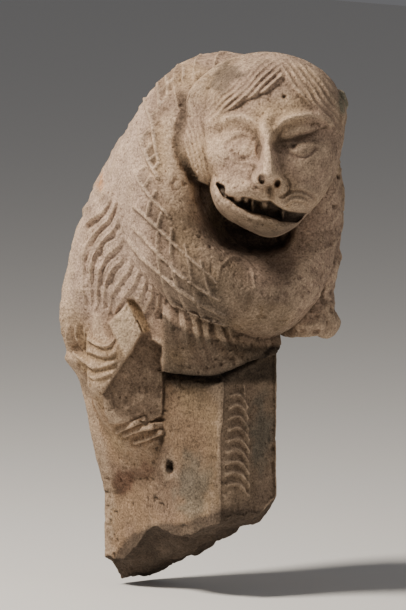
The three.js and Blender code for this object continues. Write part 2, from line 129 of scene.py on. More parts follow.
def spline(points: Array, share: Array) -> Array:
    """Follow a smooth curve through a few points.

    Args:
        points: The points that the curve passes through, one row each.
        share: Where on the curve, from 0 to 1.

    Returns:
        One row of the curve for each share.
    """
    points = np.asarray(points, dtype=float)
    last = len(points) - 1
    at = np.clip(np.asarray(share, dtype=float), 0.0, 1.0) * last
    index = np.minimum(np.floor(at).astype(int), last - 1)
    t = (at - index)[:, None]
    before, start = points[np.maximum(index - 1, 0)], points[index]
    end, after = points[index + 1], points[np.minimum(index + 2, last)]
    leave, arrive = (end - before) / 2.0, (after - start) / 2.0
    return ((2 * start - 2 * end + leave + arrive) * t ** 3
            + (3 * end - 3 * start - 2 * leave - arrive) * t ** 2 + leave * t + start)


def off_curve(points: Array, x: Array, y: Array, steps: int = 48) -> tuple[Array, Array, Array]:
    """Measure from flat positions to a smooth curve.

    Args:
        points: The points that the curve passes through.
        x: Positions to the right.
        y: Positions up.
        steps: How finely the curve is followed.

    Returns:
        The distance to the curve, the share along it, and the height above it.
    """
    shares = np.linspace(0.0, 1.0, steps)
    curve = spline(points, shares)
    best = np.full(len(x), np.inf)
    share = np.zeros(len(x))
    above = np.zeros(len(x))
    for at, (curve_x, curve_y) in zip(shares, curve):
        distance = np.hypot(x - curve_x, y - curve_y)
        nearer = distance < best
        best = np.where(nearer, distance, best)
        share = np.where(nearer, at, share)
        above = np.where(nearer, y - curve_y, above)
    return best, share, above


def ring_reach(outline: Pairs, angle: Array) -> Array:
    """Give the reach of a smooth closed outline at an angle.

    Args:
        outline: Degrees and reach of the points that the outline passes through.
        angle: Angles in radians.

    Returns:
        The reach at each angle.
    """
    degrees, reaches = np.array(outline, dtype=float).T
    degrees = np.concatenate([degrees[-3:] - 360.0, degrees, degrees[:3] + 360.0])
    reaches = np.concatenate([reaches[-3:], reaches, reaches[:3]])
    curve = spline(np.stack([degrees, reaches], axis=1), np.linspace(0.0, 1.0, 1500))
    return np.interp(np.degrees(angle) % 360.0, curve[:, 0], curve[:, 1])


def within(corners: Pairs, right: Array, up: Array, soft: float) -> Array:
    """Tell how far positions lie inside a shape with clockwise corners.

    Args:
        corners: The shape's corners.
        right: Positions to the right.
        up: Positions up.
        soft: How soft the shape's edge is.

    Returns:
        Shares from 0 outside to 1 inside.
    """
    depth = np.full(len(right), np.inf)
    for (x, y), (next_x, next_y) in zip(corners, corners[1:] + corners[:1]):
        length = math.hypot(next_x - x, next_y - y)
        depth = np.minimum(depth, ((right - x) * (next_y - y) - (up - y) * (next_x - x)) / length)
    return smooth(depth, -soft, soft)


@dataclass(frozen=True)
class Hump:
    """A rounded hump on a flat layout, or a hollow where its height is negative."""

    height: float
    at: tuple[float, float]
    half: tuple[float, float]
    lean: float = 0.0
    turn: float = 0.0

    def relief(self, x: Array, y: Array) -> Array:
        """Give the hump's height at lengths to the right and up.

        Args:
            x: Lengths to the right.
            y: Lengths up.

        Returns:
            Heights in millimetres.
        """
        aside, above = x - self.at[0], y - self.at[1]
        along, across = aside + self.turn * above, above - self.lean * aside
        return self.height * bell(np.hypot(along / self.half[0], across / self.half[1]), 1.0)


@dataclass(frozen=True)
class Ridge:
    """A rounded ridge along a smooth line, or a groove where its height is negative."""

    height: float
    width: float
    line: Pairs

    def relief(self, x: Array, y: Array) -> Array:
        """Give the ridge's height at lengths to the right and up."""
        return self.height * bell(off_curve(self.line, x, y)[0], self.width)


Mark = Hump | Ridge


def together(marks: tuple[Mark, ...], x: Array, y: Array) -> Array:
    """Give the height of several marks together."""
    return sum((mark.relief(x, y) for mark in marks), np.zeros(len(x)))


@dataclass(frozen=True)
class Axes:
    """A right-handed set of axes that looks out from the stone."""

    right: Array
    up: Array
    out: Array

    @classmethod
    def looking(cls, turn: float, pitch: float) -> "Axes":
        """Look out at a turn from -Y and a pitch above level.

        Args:
            turn: Degrees round the upright axis.
            pitch: Degrees above level.

        Returns:
            The axes.
        """
        a, e = math.radians(turn), math.radians(pitch)
        level = np.array([math.sin(a), -math.cos(a), 0.0])
        right = np.array([math.cos(a), math.sin(a), 0.0])
        out = level * math.cos(e) + np.array([0.0, 0.0, math.sin(e)])
        return cls(right, np.cross(out, right), out)

    def point(self, centre: Array, x: Array, y: Array, z: Array) -> Array:
        """Give the points at lengths right, up and out of a centre."""
        return np.asarray(centre) + np.outer(x, self.right) + np.outer(y, self.up) + np.outer(z, self.out)

    def lengths(self, centre: Array, points: Array) -> tuple[Array, Array, Array]:
        """Give the lengths of points right, up and out of a centre."""
        away = points - np.asarray(centre)
        return away @ self.right, away @ self.up, away @ self.out


VIEW = Axes.looking(-45.0, 6.0)


def round_form(name: str, columns: int, rows: int, place: Place) -> bpy.types.Object:
    """Make a closed form from a grid that is wrapped round and sent to new places.

    Args:
        name: The form's name.
        columns: Divisions round the form.
        rows: Divisions from its top to its foot.
        place: Gives points in millimetres for the shares round and down.

    Returns:
        The new object.
    """
    bm = bmesh.new()
    bmesh.ops.create_grid(bm, x_segments=columns, y_segments=rows, size=1.0)
    flat = np.array([vert.co[:] for vert in bm.verts])
    return finish_form(name, bm, place((flat[:, 0] + 1.0) / 2.0, (1.0 - flat[:, 1]) / 2.0))


def block_form(name: str, cuts: int, place: Callable[[Array], Array]) -> bpy.types.Object:
    """Make a closed form from a finely divided cube whose points are sent to new places.

    Args:
        name: The form's name.
        cuts: Cuts across each side of the cube.
        place: Gives points in millimetres for points of the cube from -1 to 1.

    Returns:
        The new object.
    """
    bm = bmesh.new()
    bmesh.ops.create_cube(bm, size=2.0)
    bmesh.ops.subdivide_edges(bm, edges=bm.edges[:], cuts=cuts, use_grid_fill=True)
    return finish_form(name, bm, place(np.array([vert.co[:] for vert in bm.verts])))


def finish_form(name: str, bm: bmesh.types.BMesh, points: Array) -> bpy.types.Object:
    """Put a form's vertices in place, in metres, close its seams and make its object."""
    for vert, point in zip(bm.verts, points * MM):
        vert.co = point
    rim = [vert for vert in bm.verts if vert.is_boundary]
    bmesh.ops.remove_doubles(bm, verts=rim, dist=1e-5)
    bmesh.ops.recalc_face_normals(bm, faces=bm.faces[:])
    mesh = bpy.data.meshes.new(name)
    bm.to_mesh(mesh)
    bm.free()
    return bpy.data.objects.new(name, mesh)


def carved(place: Place, relief: Callable[[Array, Array], Array]) -> Place:
    """Move a placed surface along its own normals.

    Args:
        place: Gives the smooth surface.
        relief: Gives the height of the carving on it.

    Returns:
        The carved surface.
    """
    step = 5e-4

    def moved(around: Array, down: Array) -> Array:
        """Give the carved points."""
        across = place(around + step, down) - place(around - step, down)
        on = place(around, np.minimum(down + step, 1.0)) - place(around, np.maximum(down - step, 0.0))
        out = np.cross(on, across)
        out /= np.maximum(np.linalg.norm(out, axis=1, keepdims=True), 1e-9)
        return place(around, down) + out * relief(around, down)[:, None]

    return moved


class Side(Enum):
    """Which side of the fern's stem a leaf is on, seen from the front."""

    FULL = -1
    WORN = 1


@dataclass
class Mane:
    """The ruff round the head with its net, and the flank whose locks run back to the wall."""

    centre: tuple[float, float, float] = (0.0, -183.0, 280.0)
    turn: float = -20.0
    pitch: float = 5.0
    half_width: float = 128.0
    half_height: float = 165.0
    profile: Pairs = (
        (0.0, -20.0), (0.2, -18.0), (0.34, 0.0), (0.5, 21.0), (0.67, 29.0), (0.86, 19.0), (1.0, -12.0),
        (1.03, -44.0))
    hollow_fill: float = 20.0
    left_swell: float = 0.08
    breast_reach: float = 26.0
    tuck: float = 0.105
    tuck_at: float = 238.0
    tuck_width: float = 32.0
    throat: Pairs = (
        (76, 300), (200, 300), (188, 223), (180, 211), (163, 204), (140, 204), (110, 215), (91, 241),
        (81, 266))
    throat_depth: float = 30.0
    throat_soft: float = 6.0
    net_from: float = 0.46
    long_lines: float = 3.4
    cross_lines: float = 4.6
    cross_round: float = 16.0
    long_bend: tuple[float, float] = (0.008, 0.068)
    long_bend_span: tuple[float, float] = (190.0, 262.0)
    long_gap: float = 17.5
    cross_gap: float = 15.5
    line_width: float = 1.5
    line_height: float = 3.0
    clear_net: tuple[float, float, float, float] = (60.0, 100.0, 122.0, 140.0)
    faint_from: tuple[float, float] = (296.0, 322.0)
    faint_to: tuple[float, float] = (20.0, 60.0)
    edge_ridge: tuple[float, float, float, float] = (150.0, 200.0, 260.0, 300.0)
    wall_centre: tuple[float, float, float] = (0.0, 24.0, 100.0)
    wall_half_width: float = 106.0
    wall_rise: float = 222.0
    wall_drop: float = 62.0
    side_power: float = 1.15
    rise_power: float = 1.6
    bulge: float = 5.0
    sweep: float = -0.12
    wave: float = 0.9
    lock_start: tuple[float, float] = (-6.9, 256.8)
    lock_run: tuple[float, float] = (0.391, -0.92)
    lock_bend: Pairs = (
        (-40, -44), (0, 0), (8, 8.5), (20, 16), (35, 19.5), (49, 26), (61, 38), (90, 75))
    lock_gap: float = 14.5
    lock_height: float = 3.2
    inner_end: float = 0.16
    net_end: float = 0.46
    flank_end: float = 0.95
    columns: int = 700
    rows: int = 230

    def __post_init__(self) -> None:
        """Set up the ruff's axes."""
        self.axes = Axes.looking(self.turn, self.pitch)

    def ruff(self, angle: Array, stage: Array) -> Array:
        """Give points of the ruff's smooth cushion.

        Args:
            angle: Angle round the head from the viewer's right.
            stage: Share along the section, from the hollow to the outer edge.

        Returns:
            Points in millimetres.
        """
        share, reach = spline(self.profile, stage).T
        fill = self.hollow_fill * fall(share, 0.2, 0.5) * smooth(np.sin(angle), -0.6, 0.5)
        swell = 1.0 + self.left_swell * smooth(np.cos(angle), 0.6, 0.97)
        share = share * (1.0 - self.tuck * bell(np.degrees(angle) % 360.0 - self.tuck_at, self.tuck_width))
        breast = self.breast_reach * smooth(-np.sin(angle), 0.2, 0.9) * smooth(share, 0.3, 0.7)
        return self.axes.point(self.centre, share * swell * self.half_width * np.cos(angle),
                               share * self.half_height * np.sin(angle), reach + fill + breast)

    def wall(self, angle: Array) -> Array:
        """Give the outline where the flank meets the wall."""
        rising = np.sin(angle) > 0.0
        side = np.where(rising, signed_power(np.cos(angle), 2.0 / self.side_power), np.cos(angle))
        rise = np.where(rising, self.wall_rise * signed_power(np.sin(angle), 2.0 / self.rise_power),
                        self.wall_drop * np.sin(angle))
        outline = np.stack([self.wall_half_width * side, 0.0 * side, rise], axis=1)
        return np.asarray(self.wall_centre) + outline

    def place(self, around: Array, down: Array) -> Array:
        """Give the smooth mane, from the hollow at the chin back to behind the wall.

        Args:
            around: Share round the head.
            down: Share from the hollow to the wall.

        Returns:
            Points in millimetres.
        """
        angle = TURN * around
        inner = self.net_from * down / self.inner_end
        band = mix(self.net_from, 1.0, (down - self.inner_end) / (self.net_end - self.inner_end))
        front = self.ruff(angle, np.where(down < self.inner_end, inner, np.minimum(band, 1.0)))
        sunk = self.throat_depth * within(self.throat, front @ VIEW.right, front @ VIEW.up, self.throat_soft)
        front = front - np.outer(sunk, VIEW.out)
        stage = np.clip((down - self.net_end) / (self.flank_end - self.net_end), 0.0, 1.0)
        swept = angle - TURN * np.cos(angle) * self.sweep * (stage + np.sin(TURN * stage) * self.wave / TURN)
        edge = self.ruff(swept, np.ones_like(down))
        flank = mix(edge, self.wall(swept), stage[:, None])
        flank += np.outer(self.bulge * np.cos(swept) * np.sin(math.pi * stage), self.axes.right)
        closing = np.clip((down - self.flank_end) / (1.0 - self.flank_end), 0.0, 1.0)
        flank = mix(flank, np.asarray(self.wall_centre), closing[:, None])
        return np.where((down <= self.net_end)[:, None], front, flank)

    def net(self, around: Array, down: Array) -> Array:
        """Give the ruff's raised net at its top and, worn faint, on its left, and the ridge along its edge.

        Args:
            around: Share round the head.
            down: Share from the hollow to the wall.

        Returns:
            Heights in millimetres.
        """
        across = (down - self.inner_end) / (self.net_end - self.inner_end)
        degrees = 360.0 * around % 360.0
        mirrored = np.where(np.cos(TURN * around) < 0.0, degrees, (180.0 - degrees) % 360.0)
        table = np.arange(0.0, 361.0)
        bend = np.cumsum(self.long_bend[0] + self.long_bend[1] * fall(table, *self.long_bend_span))
        long = self.long_lines * across + np.interp(mirrored, table, bend)
        cross = self.cross_lines * across - self.cross_round * mirrored / 360.0
        spot = np.stack([100.0 * np.cos(TURN * around), 100.0 * np.sin(TURN * around), 80.0 * across], axis=1)
        long_line = bell((long - np.round(long)) * self.long_gap, self.line_width)
        cross_line = bell((cross - np.round(cross)) * self.cross_gap, self.line_width)
        cross_line *= 0.35 + 0.5 * smooth(grain(spot, 18.0, 6), -0.4, 0.5)
        clear = span(degrees, *self.clear_net)
        clear *= 0.55 + 0.45 * smooth(grain(spot, 40.0, 7), -0.5, 0.2)
        faint = 0.5 * smooth(degrees, *self.faint_from) + 0.5 * fall(degrees, *self.faint_to)
        inside = span(across, 0.16, 0.34, 0.97, 1.03)
        lines = inside * np.clip(clear + faint, 0.0, 1.0) * (np.maximum(long_line, cross_line) - 0.2)
        edge = 0.8 * bell((across - 0.97) * 78.0, 2.6) * span(degrees, *self.edge_ridge)
        return self.line_height * (lines + edge)

    def strands(self, around: Array, down: Array) -> Array:
        """Give the flame-like locks of the flank.

        Args:
            around: Share round the head.
            down: Share from the hollow to the wall.

        Returns:
            Heights in millimetres.
        """
        stage = np.clip((down - self.net_end) / (self.flank_end - self.net_end), 0.0, 1.1)
        spot = self.place(around, down)
        near = spot * np.where(spot[:, :1] > 0.0, (-1.0, 1.0, 1.0), 1.0)
        right, up = near @ VIEW.right - self.lock_start[0], near @ VIEW.up - self.lock_start[1]
        along = right * self.lock_run[0] + up * self.lock_run[1]
        away = right * self.lock_run[1] - up * self.lock_run[0]
        bend = np.interp(away, *np.array(self.lock_bend, dtype=float).T)
        bend *= 1.0 + 0.5 * smooth(along, 20.0, 100.0)
        lock = (along - bend + 5.0 * grain(spot, 42.0, 4) + 2.2 * grain(spot, 17.0, 8)) / self.lock_gap
        share = lock - np.floor(lock)
        crest = bell((share - 0.5) * self.lock_gap, 1.7) - 0.75 * bell((share - 0.74) * self.lock_gap, 2.3)
        fine = 0.22 * np.cos(TURN * 3.0 * lock + 2.0 * grain(spot, 14.0, 9))
        fade = span(stage, 0.0, 0.03, 1.0, 1.05) * mix(1.0, 0.35, smooth(away, 46.0, 78.0))
        worn = mix(0.35, 1.0, smooth(along, -34.0, 0.0)) * (0.9 + 0.7 * grain(spot, 30.0, 5))
        return fade * np.maximum(worn, 0.1) * self.lock_height * (crest + fine)

    def relief(self, around: Array, down: Array) -> Array:
        """Give the height of the net and the locks."""
        return self.net(around, down) + self.strands(around, down)

    def build(self) -> bpy.types.Object:
        """Make the carved mane."""
        return round_form("mane", self.columns, self.rows, carved(self.place, self.relief))


@dataclass
class Chest:
    """The tier of hanging locks below the ruff."""

    centre: tuple[float, float, float] = (0.0, -108.0, 0.0)
    rim: float = 80.0
    rim_rise: float = 22.0
    corner_rise: float = 11.0
    top: float = 178.0
    rim_half: tuple[float, float] = (61.0, 113.0)
    top_half: tuple[float, float] = (70.0, 80.0)
    bulge: float = 6.0
    power: float = 3.2
    locks: int = 27
    lock_depth: float = 4.8
    columns: int = 330
    rows: int = 90

    def rim_level(self, side: Array, front: Array) -> Array:
        """Give the height of the rim, which rises to the lion's left and most at its front corner."""
        rise = self.rim_rise * smooth(side - front, -0.4, 1.4)
        return self.rim + rise + self.corner_rise * smooth(side - front, 1.15, 1.45)

    def over_pillar(self, x: Array, y: Array) -> Array:
        """Give the height of the rim over places of the pillar."""
        return self.rim_level(x / 50.0, (y - self.centre[1]) / 100.0)

    def place(self, around: Array, down: Array) -> Array:
        """Give the smooth tier.

        Args:
            around: Share round the breast.
            down: Share from its top to its underside.

        Returns:
            Points in millimetres.
        """
        angle = TURN * around
        side = signed_power(np.cos(angle), 2.0 / self.power)
        front = signed_power(np.sin(angle), 2.0 / self.power)
        rim = self.rim_level(np.cos(angle), np.sin(angle))
        body = np.clip((down - 0.12) / 0.76, 0.0, 1.0)
        half_width = mix(self.top_half[0], self.rim_half[0], body) + self.bulge * np.sin(math.pi * body)
        half_depth = mix(self.top_half[1], self.rim_half[1], body)
        spread = np.clip(np.minimum(down, 1.0 - down) / 0.12, 0.0, 1.0) ** 0.7
        return np.stack([self.centre[0] + spread * half_width * side,
                         self.centre[1] + spread * half_depth * front, mix(self.top, rim, body)], axis=1)

    def relief(self, around: Array, down: Array) -> Array:
        """Give the hanging locks, each with a groove on either side and fine lines.

        Args:
            around: Share round the breast.
            down: Share from its top to its underside.

        Returns:
            Heights in millimetres.
        """
        spot = np.stack([90.0 * np.cos(TURN * around), 90.0 * np.sin(TURN * around), 90.0 * down], axis=1)
        lock = self.locks * around + 0.6 * grain(spot, 30.0, 11) + 0.5 * np.sin(4.0 * down + 9.0 * around)
        ridge = np.abs(np.sin(math.pi * lock)) ** 0.8
        fine = np.cos(TURN * 3.0 * lock)
        length = 0.54 + 0.12 * grain(spot, 22.0, 12)
        fade = smooth(down, 0.06, 0.2) * (0.12 + 0.88 * fall(down, length - 0.12, length + 0.1))
        fade *= fall(down, 0.9, 0.97)
        return fade * self.lock_depth * (1.6 * ridge - 0.9 + 0.15 * fine)

    def build(self) -> bpy.types.Object:
        """Make the carved tier."""
        return round_form("chest", self.columns, self.rows, carved(self.place, self.relief))


@dataclass(frozen=True)
class Eyes:
    """The brows and eyes: the right one worn, the left one deep and narrowed."""

    right: tuple[Mark, ...] = (
        Ridge(4.2, 5.5, ((-70, 26), (-52, 33), (-30, 35), (-12, 27), (-6, 18))),  # brow
        Ridge(-2.4, 5.0, ((-62, 16), (-45, 21), (-28, 21), (-14, 13))),  # hollow under the brow
        Hump(-6.5, (-25, 3), (21, 12)),  # socket
        Hump(6.0, (-25, -1), (9.5, 8.5)),  # ball
        Ridge(-1.2, 1.9, ((-48, 3), (-38, 10), (-27, 12), (-18, 9))),  # upper lid
        Ridge(-2.2, 1.9, ((-43, -5), (-35, -11), (-24, -13))),  # lower lid
        Ridge(-1.3, 1.9, ((-50, -14), (-34, -20), (-18, -21))))  # crease of the cheek
    right_corner: Ridge = Ridge(-8.5, 3.4, (
        (-24, 10), (-15, 8), (-10.5, 1), (-10, -7), (-11, -14), (-15, -20)))
    right_corner_span: tuple[float, float, float, float] = (0.1, 0.5, 0.7, 1.0)
    left: tuple[Mark, ...] = (
        Ridge(5.5, 5.0, ((4, 12), (9, 22), (19, 31), (35, 36), (53, 36), (69, 27))),  # brow
        Ridge(-3.0, 4.5, ((12, 14), (22, 22), (38, 27), (56, 26))),  # hollow under the brow
        Hump(-11.0, (37, 10), (26, 10), lean=0.3, turn=0.3),  # socket
        Hump(-4.0, (16, 8), (7, 7)),  # inner corner
        Hump(3.6, (38, 2), (14, 6), lean=0.12),  # ball
        Hump(-5.5, (28.3, 0.8), (3.2, 2.8)),  # pupil
        Ridge(-3.4, 1.9, ((15, 8), (25, 9), (35, 12), (50, 17), (66, 23))),  # upper lid
        Ridge(-3.4, 2.2, ((18, 1), (23, -6), (33, -11), (44, -10), (53, -2))),  # lower lid
        Ridge(1.8, 1.8, ((20, 5), (32, 6), (45, 9), (56, 13))))  # edge of the upper lid

    def relief(self, x: Array, y: Array) -> Array:
        """Give the height of the brows and eyes.

        Args:
            x: Lengths to the right.
            y: Lengths up.

        Returns:
            Heights in millimetres.
        """
        _, along, _ = off_curve(self.right_corner.line, x, y)
        cut = span(along, *self.right_corner_span)
        return together(self.right + self.left, x, y) + cut * self.right_corner.relief(x, y)


@dataclass(frozen=True)
class Nose:
    """The nose: a steep ridge that widens to its tip, with drilled nostrils."""

    top: float = 26.0
    length: float = 56.0
    top_aside: float = -3.0
    half_width: tuple[float, float] = (6.0, 11.0)
    widening: float = 2.2
    rise: tuple[float, float] = (9.0, 31.0)
    steepness: float = 3.6
    foot: tuple[float, float] = (-47.0, -33.0)
    root: tuple[float, float] = (18.0, 46.0)
    wings: tuple[Mark, ...] = (
        Hump(7.0, (-11, -37), (7.0, 8.0)),
        Hump(8.5, (14.5, -43), (7.0, 9.0)),
        Ridge(-3.4, 2.4, ((-16, -24), (-20, -33), (-18, -42), (-12, -47))),
        Ridge(-3.4, 2.4, ((18, -33), (24, -42), (22, -52), (14, -56))))
    nostrils: tuple[tuple[float, float, float], ...] = ((-7.8, -36.5, 4.7), (9.7, -40.4, 4.4))
    nostril_depth: float = 14.0
    nostril_squash: float = 0.85

    def relief(self, x: Array, y: Array) -> Array:
        """Give the height of the nose.

        Args:
            x: Lengths to the right.
            y: Lengths up.

        Returns:
            Heights in millimetres.
        """
        share = np.clip((self.top - y) / self.length, 0.0, 1.0)
        aside = (x - mix(self.top_aside, 0.0, share)) / mix(*self.half_width, share ** self.widening)
        height = mix(*self.rise, share) / (1.0 + np.abs(aside) ** self.steepness)
        height *= span(y, *self.foot, *self.root)
        height += together(self.wings, x, y)
        for hole_x, hole_y, radius in self.nostrils:
            away = np.hypot(x - hole_x, (y - hole_y) * self.nostril_squash)
            height -= self.nostril_depth * fall(away, 0.6 * radius, 1.15 * radius)
        return height


@dataclass(frozen=True)
class Tooth:
    """A broken tooth: its middle, its half sizes and how far it stands out of the mouth's depth."""

    at: tuple[float, float]
    half: tuple[float, float]
    size: float

    def relief(self, x: Array, y: Array) -> Array:
        """Give the tooth's height in the open mouth."""
        away = np.hypot((x - self.at[0]) / self.half[0], (y - self.at[1]) / self.half[1])
        return self.size * fall(away, 0.6, 1.3)


@dataclass(frozen=True)
class Muzzle:
    """The muzzle: puffed lips, whisker lines, the open mouth with broken teeth, and the chin."""

    lips: tuple[Mark, ...] = (
        Hump(12.0, (-26, -48), (26, 13)),  # right upper lip
        Hump(17.0, (26, -61), (26, 14)),  # left upper lip
        Hump(5.0, (-50, -14), (22, 26)),  # right cheek
        Hump(5.0, (50, -22), (22, 24)),  # left cheek
        Ridge(-5.0, 3.0, ((1, -48), (4, -62))),  # cleft under the nose
        Ridge(5.5, 3.6, ((-60, -54), (-52, -63), (-36, -73), (-20, -80), (-4, -84), (14, -90), (32, -91),
                         (44, -82))))  # lower lip
    chin: Ridge = Ridge(9.0, 8.5, (
        (-63, -50), (-58, -62), (-40, -79), (-14, -91), (14, -95), (34, -90), (44, -82)))
    whisker: Pairs = ((18, -55), (27, -50), (38, -50.5), (50, -56), (56, -64))
    whisker_fall: Pairs = ((0.25, -1), (0, -1), (0, -1), (-0.5, -0.9), (-1, -0.5))
    whisker_drops: tuple[float, ...] = (0.0, 6.2, 12.4)
    whisker_depth: float = 4.4
    whisker_width: float = 2.0
    upper: Pairs = (
        (-59, -40), (-51, -44), (-46, -56), (-36, -58), (-28, -57), (-20, -59), (-10, -62), (2, -62),
        (11, -68), (21, -73), (35, -75), (46, -75))
    lower: Pairs = (
        (-59, -44), (-53, -55), (-36, -66), (-20, -74), (-4, -78), (14, -84), (32, -85), (42, -79), (46, -75))
    opening_span: tuple[float, float, float, float] = (-61.0, -57.0, 44.0, 48.0)
    corner_depth: float = 16.0
    depth: float = 30.0
    teeth: tuple[Tooth, ...] = (
        Tooth((-46, -50), (3.6, 5.0), 20),
        Tooth((-35, -58), (4.6, 4.2), 23),
        Tooth((-26, -60), (3.0, 3.0), 18),
        Tooth((-18.5, -65), (1.8, 6.5), 15),
        Tooth((16, -76), (2.0, 5.5), 14),
        Tooth((-5, -66), (4.5, 4.0), 8))

    def opening(self, x: Array, y: Array) -> Array:
        """Give the share by which positions lie in the open mouth.

        Args:
            x: Lengths to the right.
            y: Lengths up.

        Returns:
            Shares from 0 to 1.
        """
        upper, lower = (np.interp(x, *np.array(lip, dtype=float).T) for lip in (self.upper, self.lower))
        inside = smooth(np.minimum(upper - y, y - lower), -1.6, 0.9)
        return inside * span(x, *self.opening_span)

    def relief(self, x: Array, y: Array) -> Array:
        """Give the height of the muzzle.

        Args:
            x: Lengths to the right.
            y: Lengths up.

        Returns:
            Heights in millimetres.
        """
        height = together(self.lips, x, y)
        for drop in self.whisker_drops:
            line = np.array(self.whisker) + drop * np.array(self.whisker_fall)
            height -= self.whisker_depth * bell(off_curve(line, x, y)[0], self.whisker_width)
        _, along, _ = off_curve(self.chin.line, x, y)
        height += self.chin.relief(x, y) * (0.5 + 0.5 * np.sin(math.pi * along) ** 0.5)
        inside = self.opening(x, y)
        height -= mix(self.corner_depth, self.depth, smooth(x, -54.0, -30.0)) * inside
        return height + inside * sum(tooth.relief(x, y) for tooth in self.teeth)


@dataclass
class Head:
    """The head, turned to the lion's right. Lengths on it run right, up and out of its centre."""

    centre: tuple[float, float, float] = (3.0, -227.0, 342.0)
    turn: float = -45.0
    pitch: float = 6.0
    half_depth: float = 84.0
    flatness: float = 0.85
    jaw_flatness: float = 0.5
    side_share: float = 0.6
    outline: Pairs = (
        (0, 82), (14, 86), (27, 95), (45, 105), (63, 108), (90, 108), (110, 108), (132, 103), (150, 90),
        (164, 83), (188, 80), (204, 76), (215, 82), (232, 92), (251, 95), (272, 102), (288, 96), (301, 88),
        (325, 83))
    hair_edge: Pairs = (
        (-95, 12), (-81, 19), (-69, 28), (-56, 36), (-42, 44), (-25, 54), (-4, 63), (14, 74), (17, 79),
        (22, 73), (30, 64), (43, 52), (55, 39), (68, 26), (76, 14), (80, -2), (82, -20))
    hair_raise: float = 4.2
    strand_gap: float = 6.4
    strand_depth: float = 4.2
    worn_patch: Hump = Hump(-3.0, (-45, 80), (16, 12))
    drill: tuple[float, float, float] = (17.5, 57.5, 2.9)
    drill_depth: float = 5.0
    eyes: Eyes = Eyes()
    nose: Nose = Nose()
    muzzle: Muzzle = Muzzle()
    cuts: int = 165

    def __post_init__(self) -> None:
        """Set up the head's axes."""
        self.axes = Axes.looking(self.turn, self.pitch)

    def on(self, x: Array, y: Array, z: Array) -> Array:
        """Give the points at lengths right, up and out of the head's centre."""
        return self.axes.point(self.centre, np.atleast_1d(x), np.atleast_1d(y), np.atleast_1d(z))

    def hair(self, x: Array, y: Array) -> Array:
        """Give the hair over the forehead, with its strands along the hairline.

        Args:
            x: Lengths to the right.
            y: Lengths up.

        Returns:
            Heights in millimetres.
        """
        edge = np.array(self.hair_edge, dtype=float)
        line = np.interp(x, edge[:, 0], edge[:, 1])
        away, _, _ = off_curve(edge, x, y, 96)
        above = np.where(y > line, away, -away)
        spot = np.stack([x, y, 0.0 * x], axis=1)
        aside = np.where(x < 15.0, 0.707 * (y - x), 0.8 * x + 0.6 * y)
        strand = aside / self.strand_gap + 0.5 * grain(spot, 20.0, 21)
        crest = bell((strand - np.floor(strand) - 0.5) * self.strand_gap, 1.7)
        worn = 1.0 - 0.75 * smooth(above - 0.25 * np.maximum(x, 0.0), 20.0, 36.0)
        worn *= 0.8 + 0.4 * grain(spot, 16.0, 22)
        return (smooth(above, -1.0, 2.6) * self.hair_raise + self.worn_patch.relief(x, y)
                + smooth(above, 0.5, 3.0) * worn * self.strand_depth * (crest - 0.5))

    def relief(self, x: Array, y: Array) -> Array:
        """Give the whole carved face.

        Args:
            x: Lengths to the right.
            y: Lengths up.

        Returns:
            Heights in millimetres.
        """
        height = self.hair(x, y) + sum(part.relief(x, y) for part in (self.eyes, self.nose, self.muzzle))
        hole = np.hypot(x - self.drill[0], y - self.drill[1])
        return height - self.drill_depth * fall(hole, 0.5 * self.drill[2], 1.2 * self.drill[2])

    def place(self, cube: Array) -> Array:
        """Send the points of a cube to the carved head.

        Args:
            cube: Points of a cube from -1 to 1.

        Returns:
            Points in millimetres.
        """
        aim = cube * np.array([1.0, 1.0, self.side_share])
        aim /= np.linalg.norm(aim, axis=1, keepdims=True)
        reach = ring_reach(self.outline, np.arctan2(aim[:, 1], aim[:, 0]))
        x, y = reach * aim[:, 0], reach * aim[:, 1]
        front = smooth(aim[:, 2], 0.06, 0.36)
        full = mix(self.flatness, self.jaw_flatness, smooth(-aim[:, 1], 0.3, 0.75))
        z = self.half_depth * signed_power(aim[:, 2], full)
        face = front > 0.0
        z[face] += front[face] * self.relief(x[face], y[face])
        return self.on(x, y, z)

    def build(self) -> bpy.types.Object:
        """Make the carved head."""
        return block_form("head", self.cuts, self.place)


@dataclass
class HairMass:
    """The hair round the face, smooth over the right ear and in strands beside the cheek."""

    head: Head
    half_depth: float = 58.0
    flatness: float = 0.55
    back: float = -6.0
    outline: Pairs = (
        (0, 84), (14, 90), (22, 97), (30, 101), (38, 103), (48, 107), (63, 109), (76, 109), (90, 110),
        (110, 111), (121, 112), (133, 112), (144, 112), (153, 108), (160, 103), (166, 102), (176, 103),
        (191, 99), (202, 92), (214, 78), (228, 62), (260, 52), (300, 52), (330, 62), (346, 80))
    cuts: int = 84

    def place(self, cube: Array) -> Array:
        """Send the points of a cube to the hair.

        Args:
            cube: Points of a cube from -1 to 1.

        Returns:
            Points in millimetres.
        """
        aim = cube / np.linalg.norm(cube, axis=1, keepdims=True)
        angle = np.arctan2(aim[:, 1], aim[:, 0])
        reach = ring_reach(self.outline, angle)
        flat = np.hypot(aim[:, 0], aim[:, 1])
        x, y = reach * aim[:, 0], reach * aim[:, 1]
        z = self.back + self.half_depth * signed_power(aim[:, 2], self.flatness)
        spot = np.stack([x, y, z], axis=1)
        strand = 0.16 * (x + 0.25 * y) + 0.8 * grain(spot, 34.0, 25)
        beside = fall(y, 22.0, 40.0) * smooth(-x, 30.0, 50.0)
        z = z + flat * beside * 4.6 * (np.abs(np.sin(math.pi * strand)) ** 0.7 - 0.6)
        above = smooth(y, 60.0, 75.0) * smooth(x + 0.4 * y, -10.0, 30.0)
        combed = np.cos(TURN * (0.09 * (x - y) + 0.5 * grain(spot, 25.0, 26)))
        return self.head.on(x, y, z + 1.2 * above * combed)

    def build(self) -> bpy.types.Object:
        """Make the hair."""
        return block_form("hair", self.cuts, self.place)


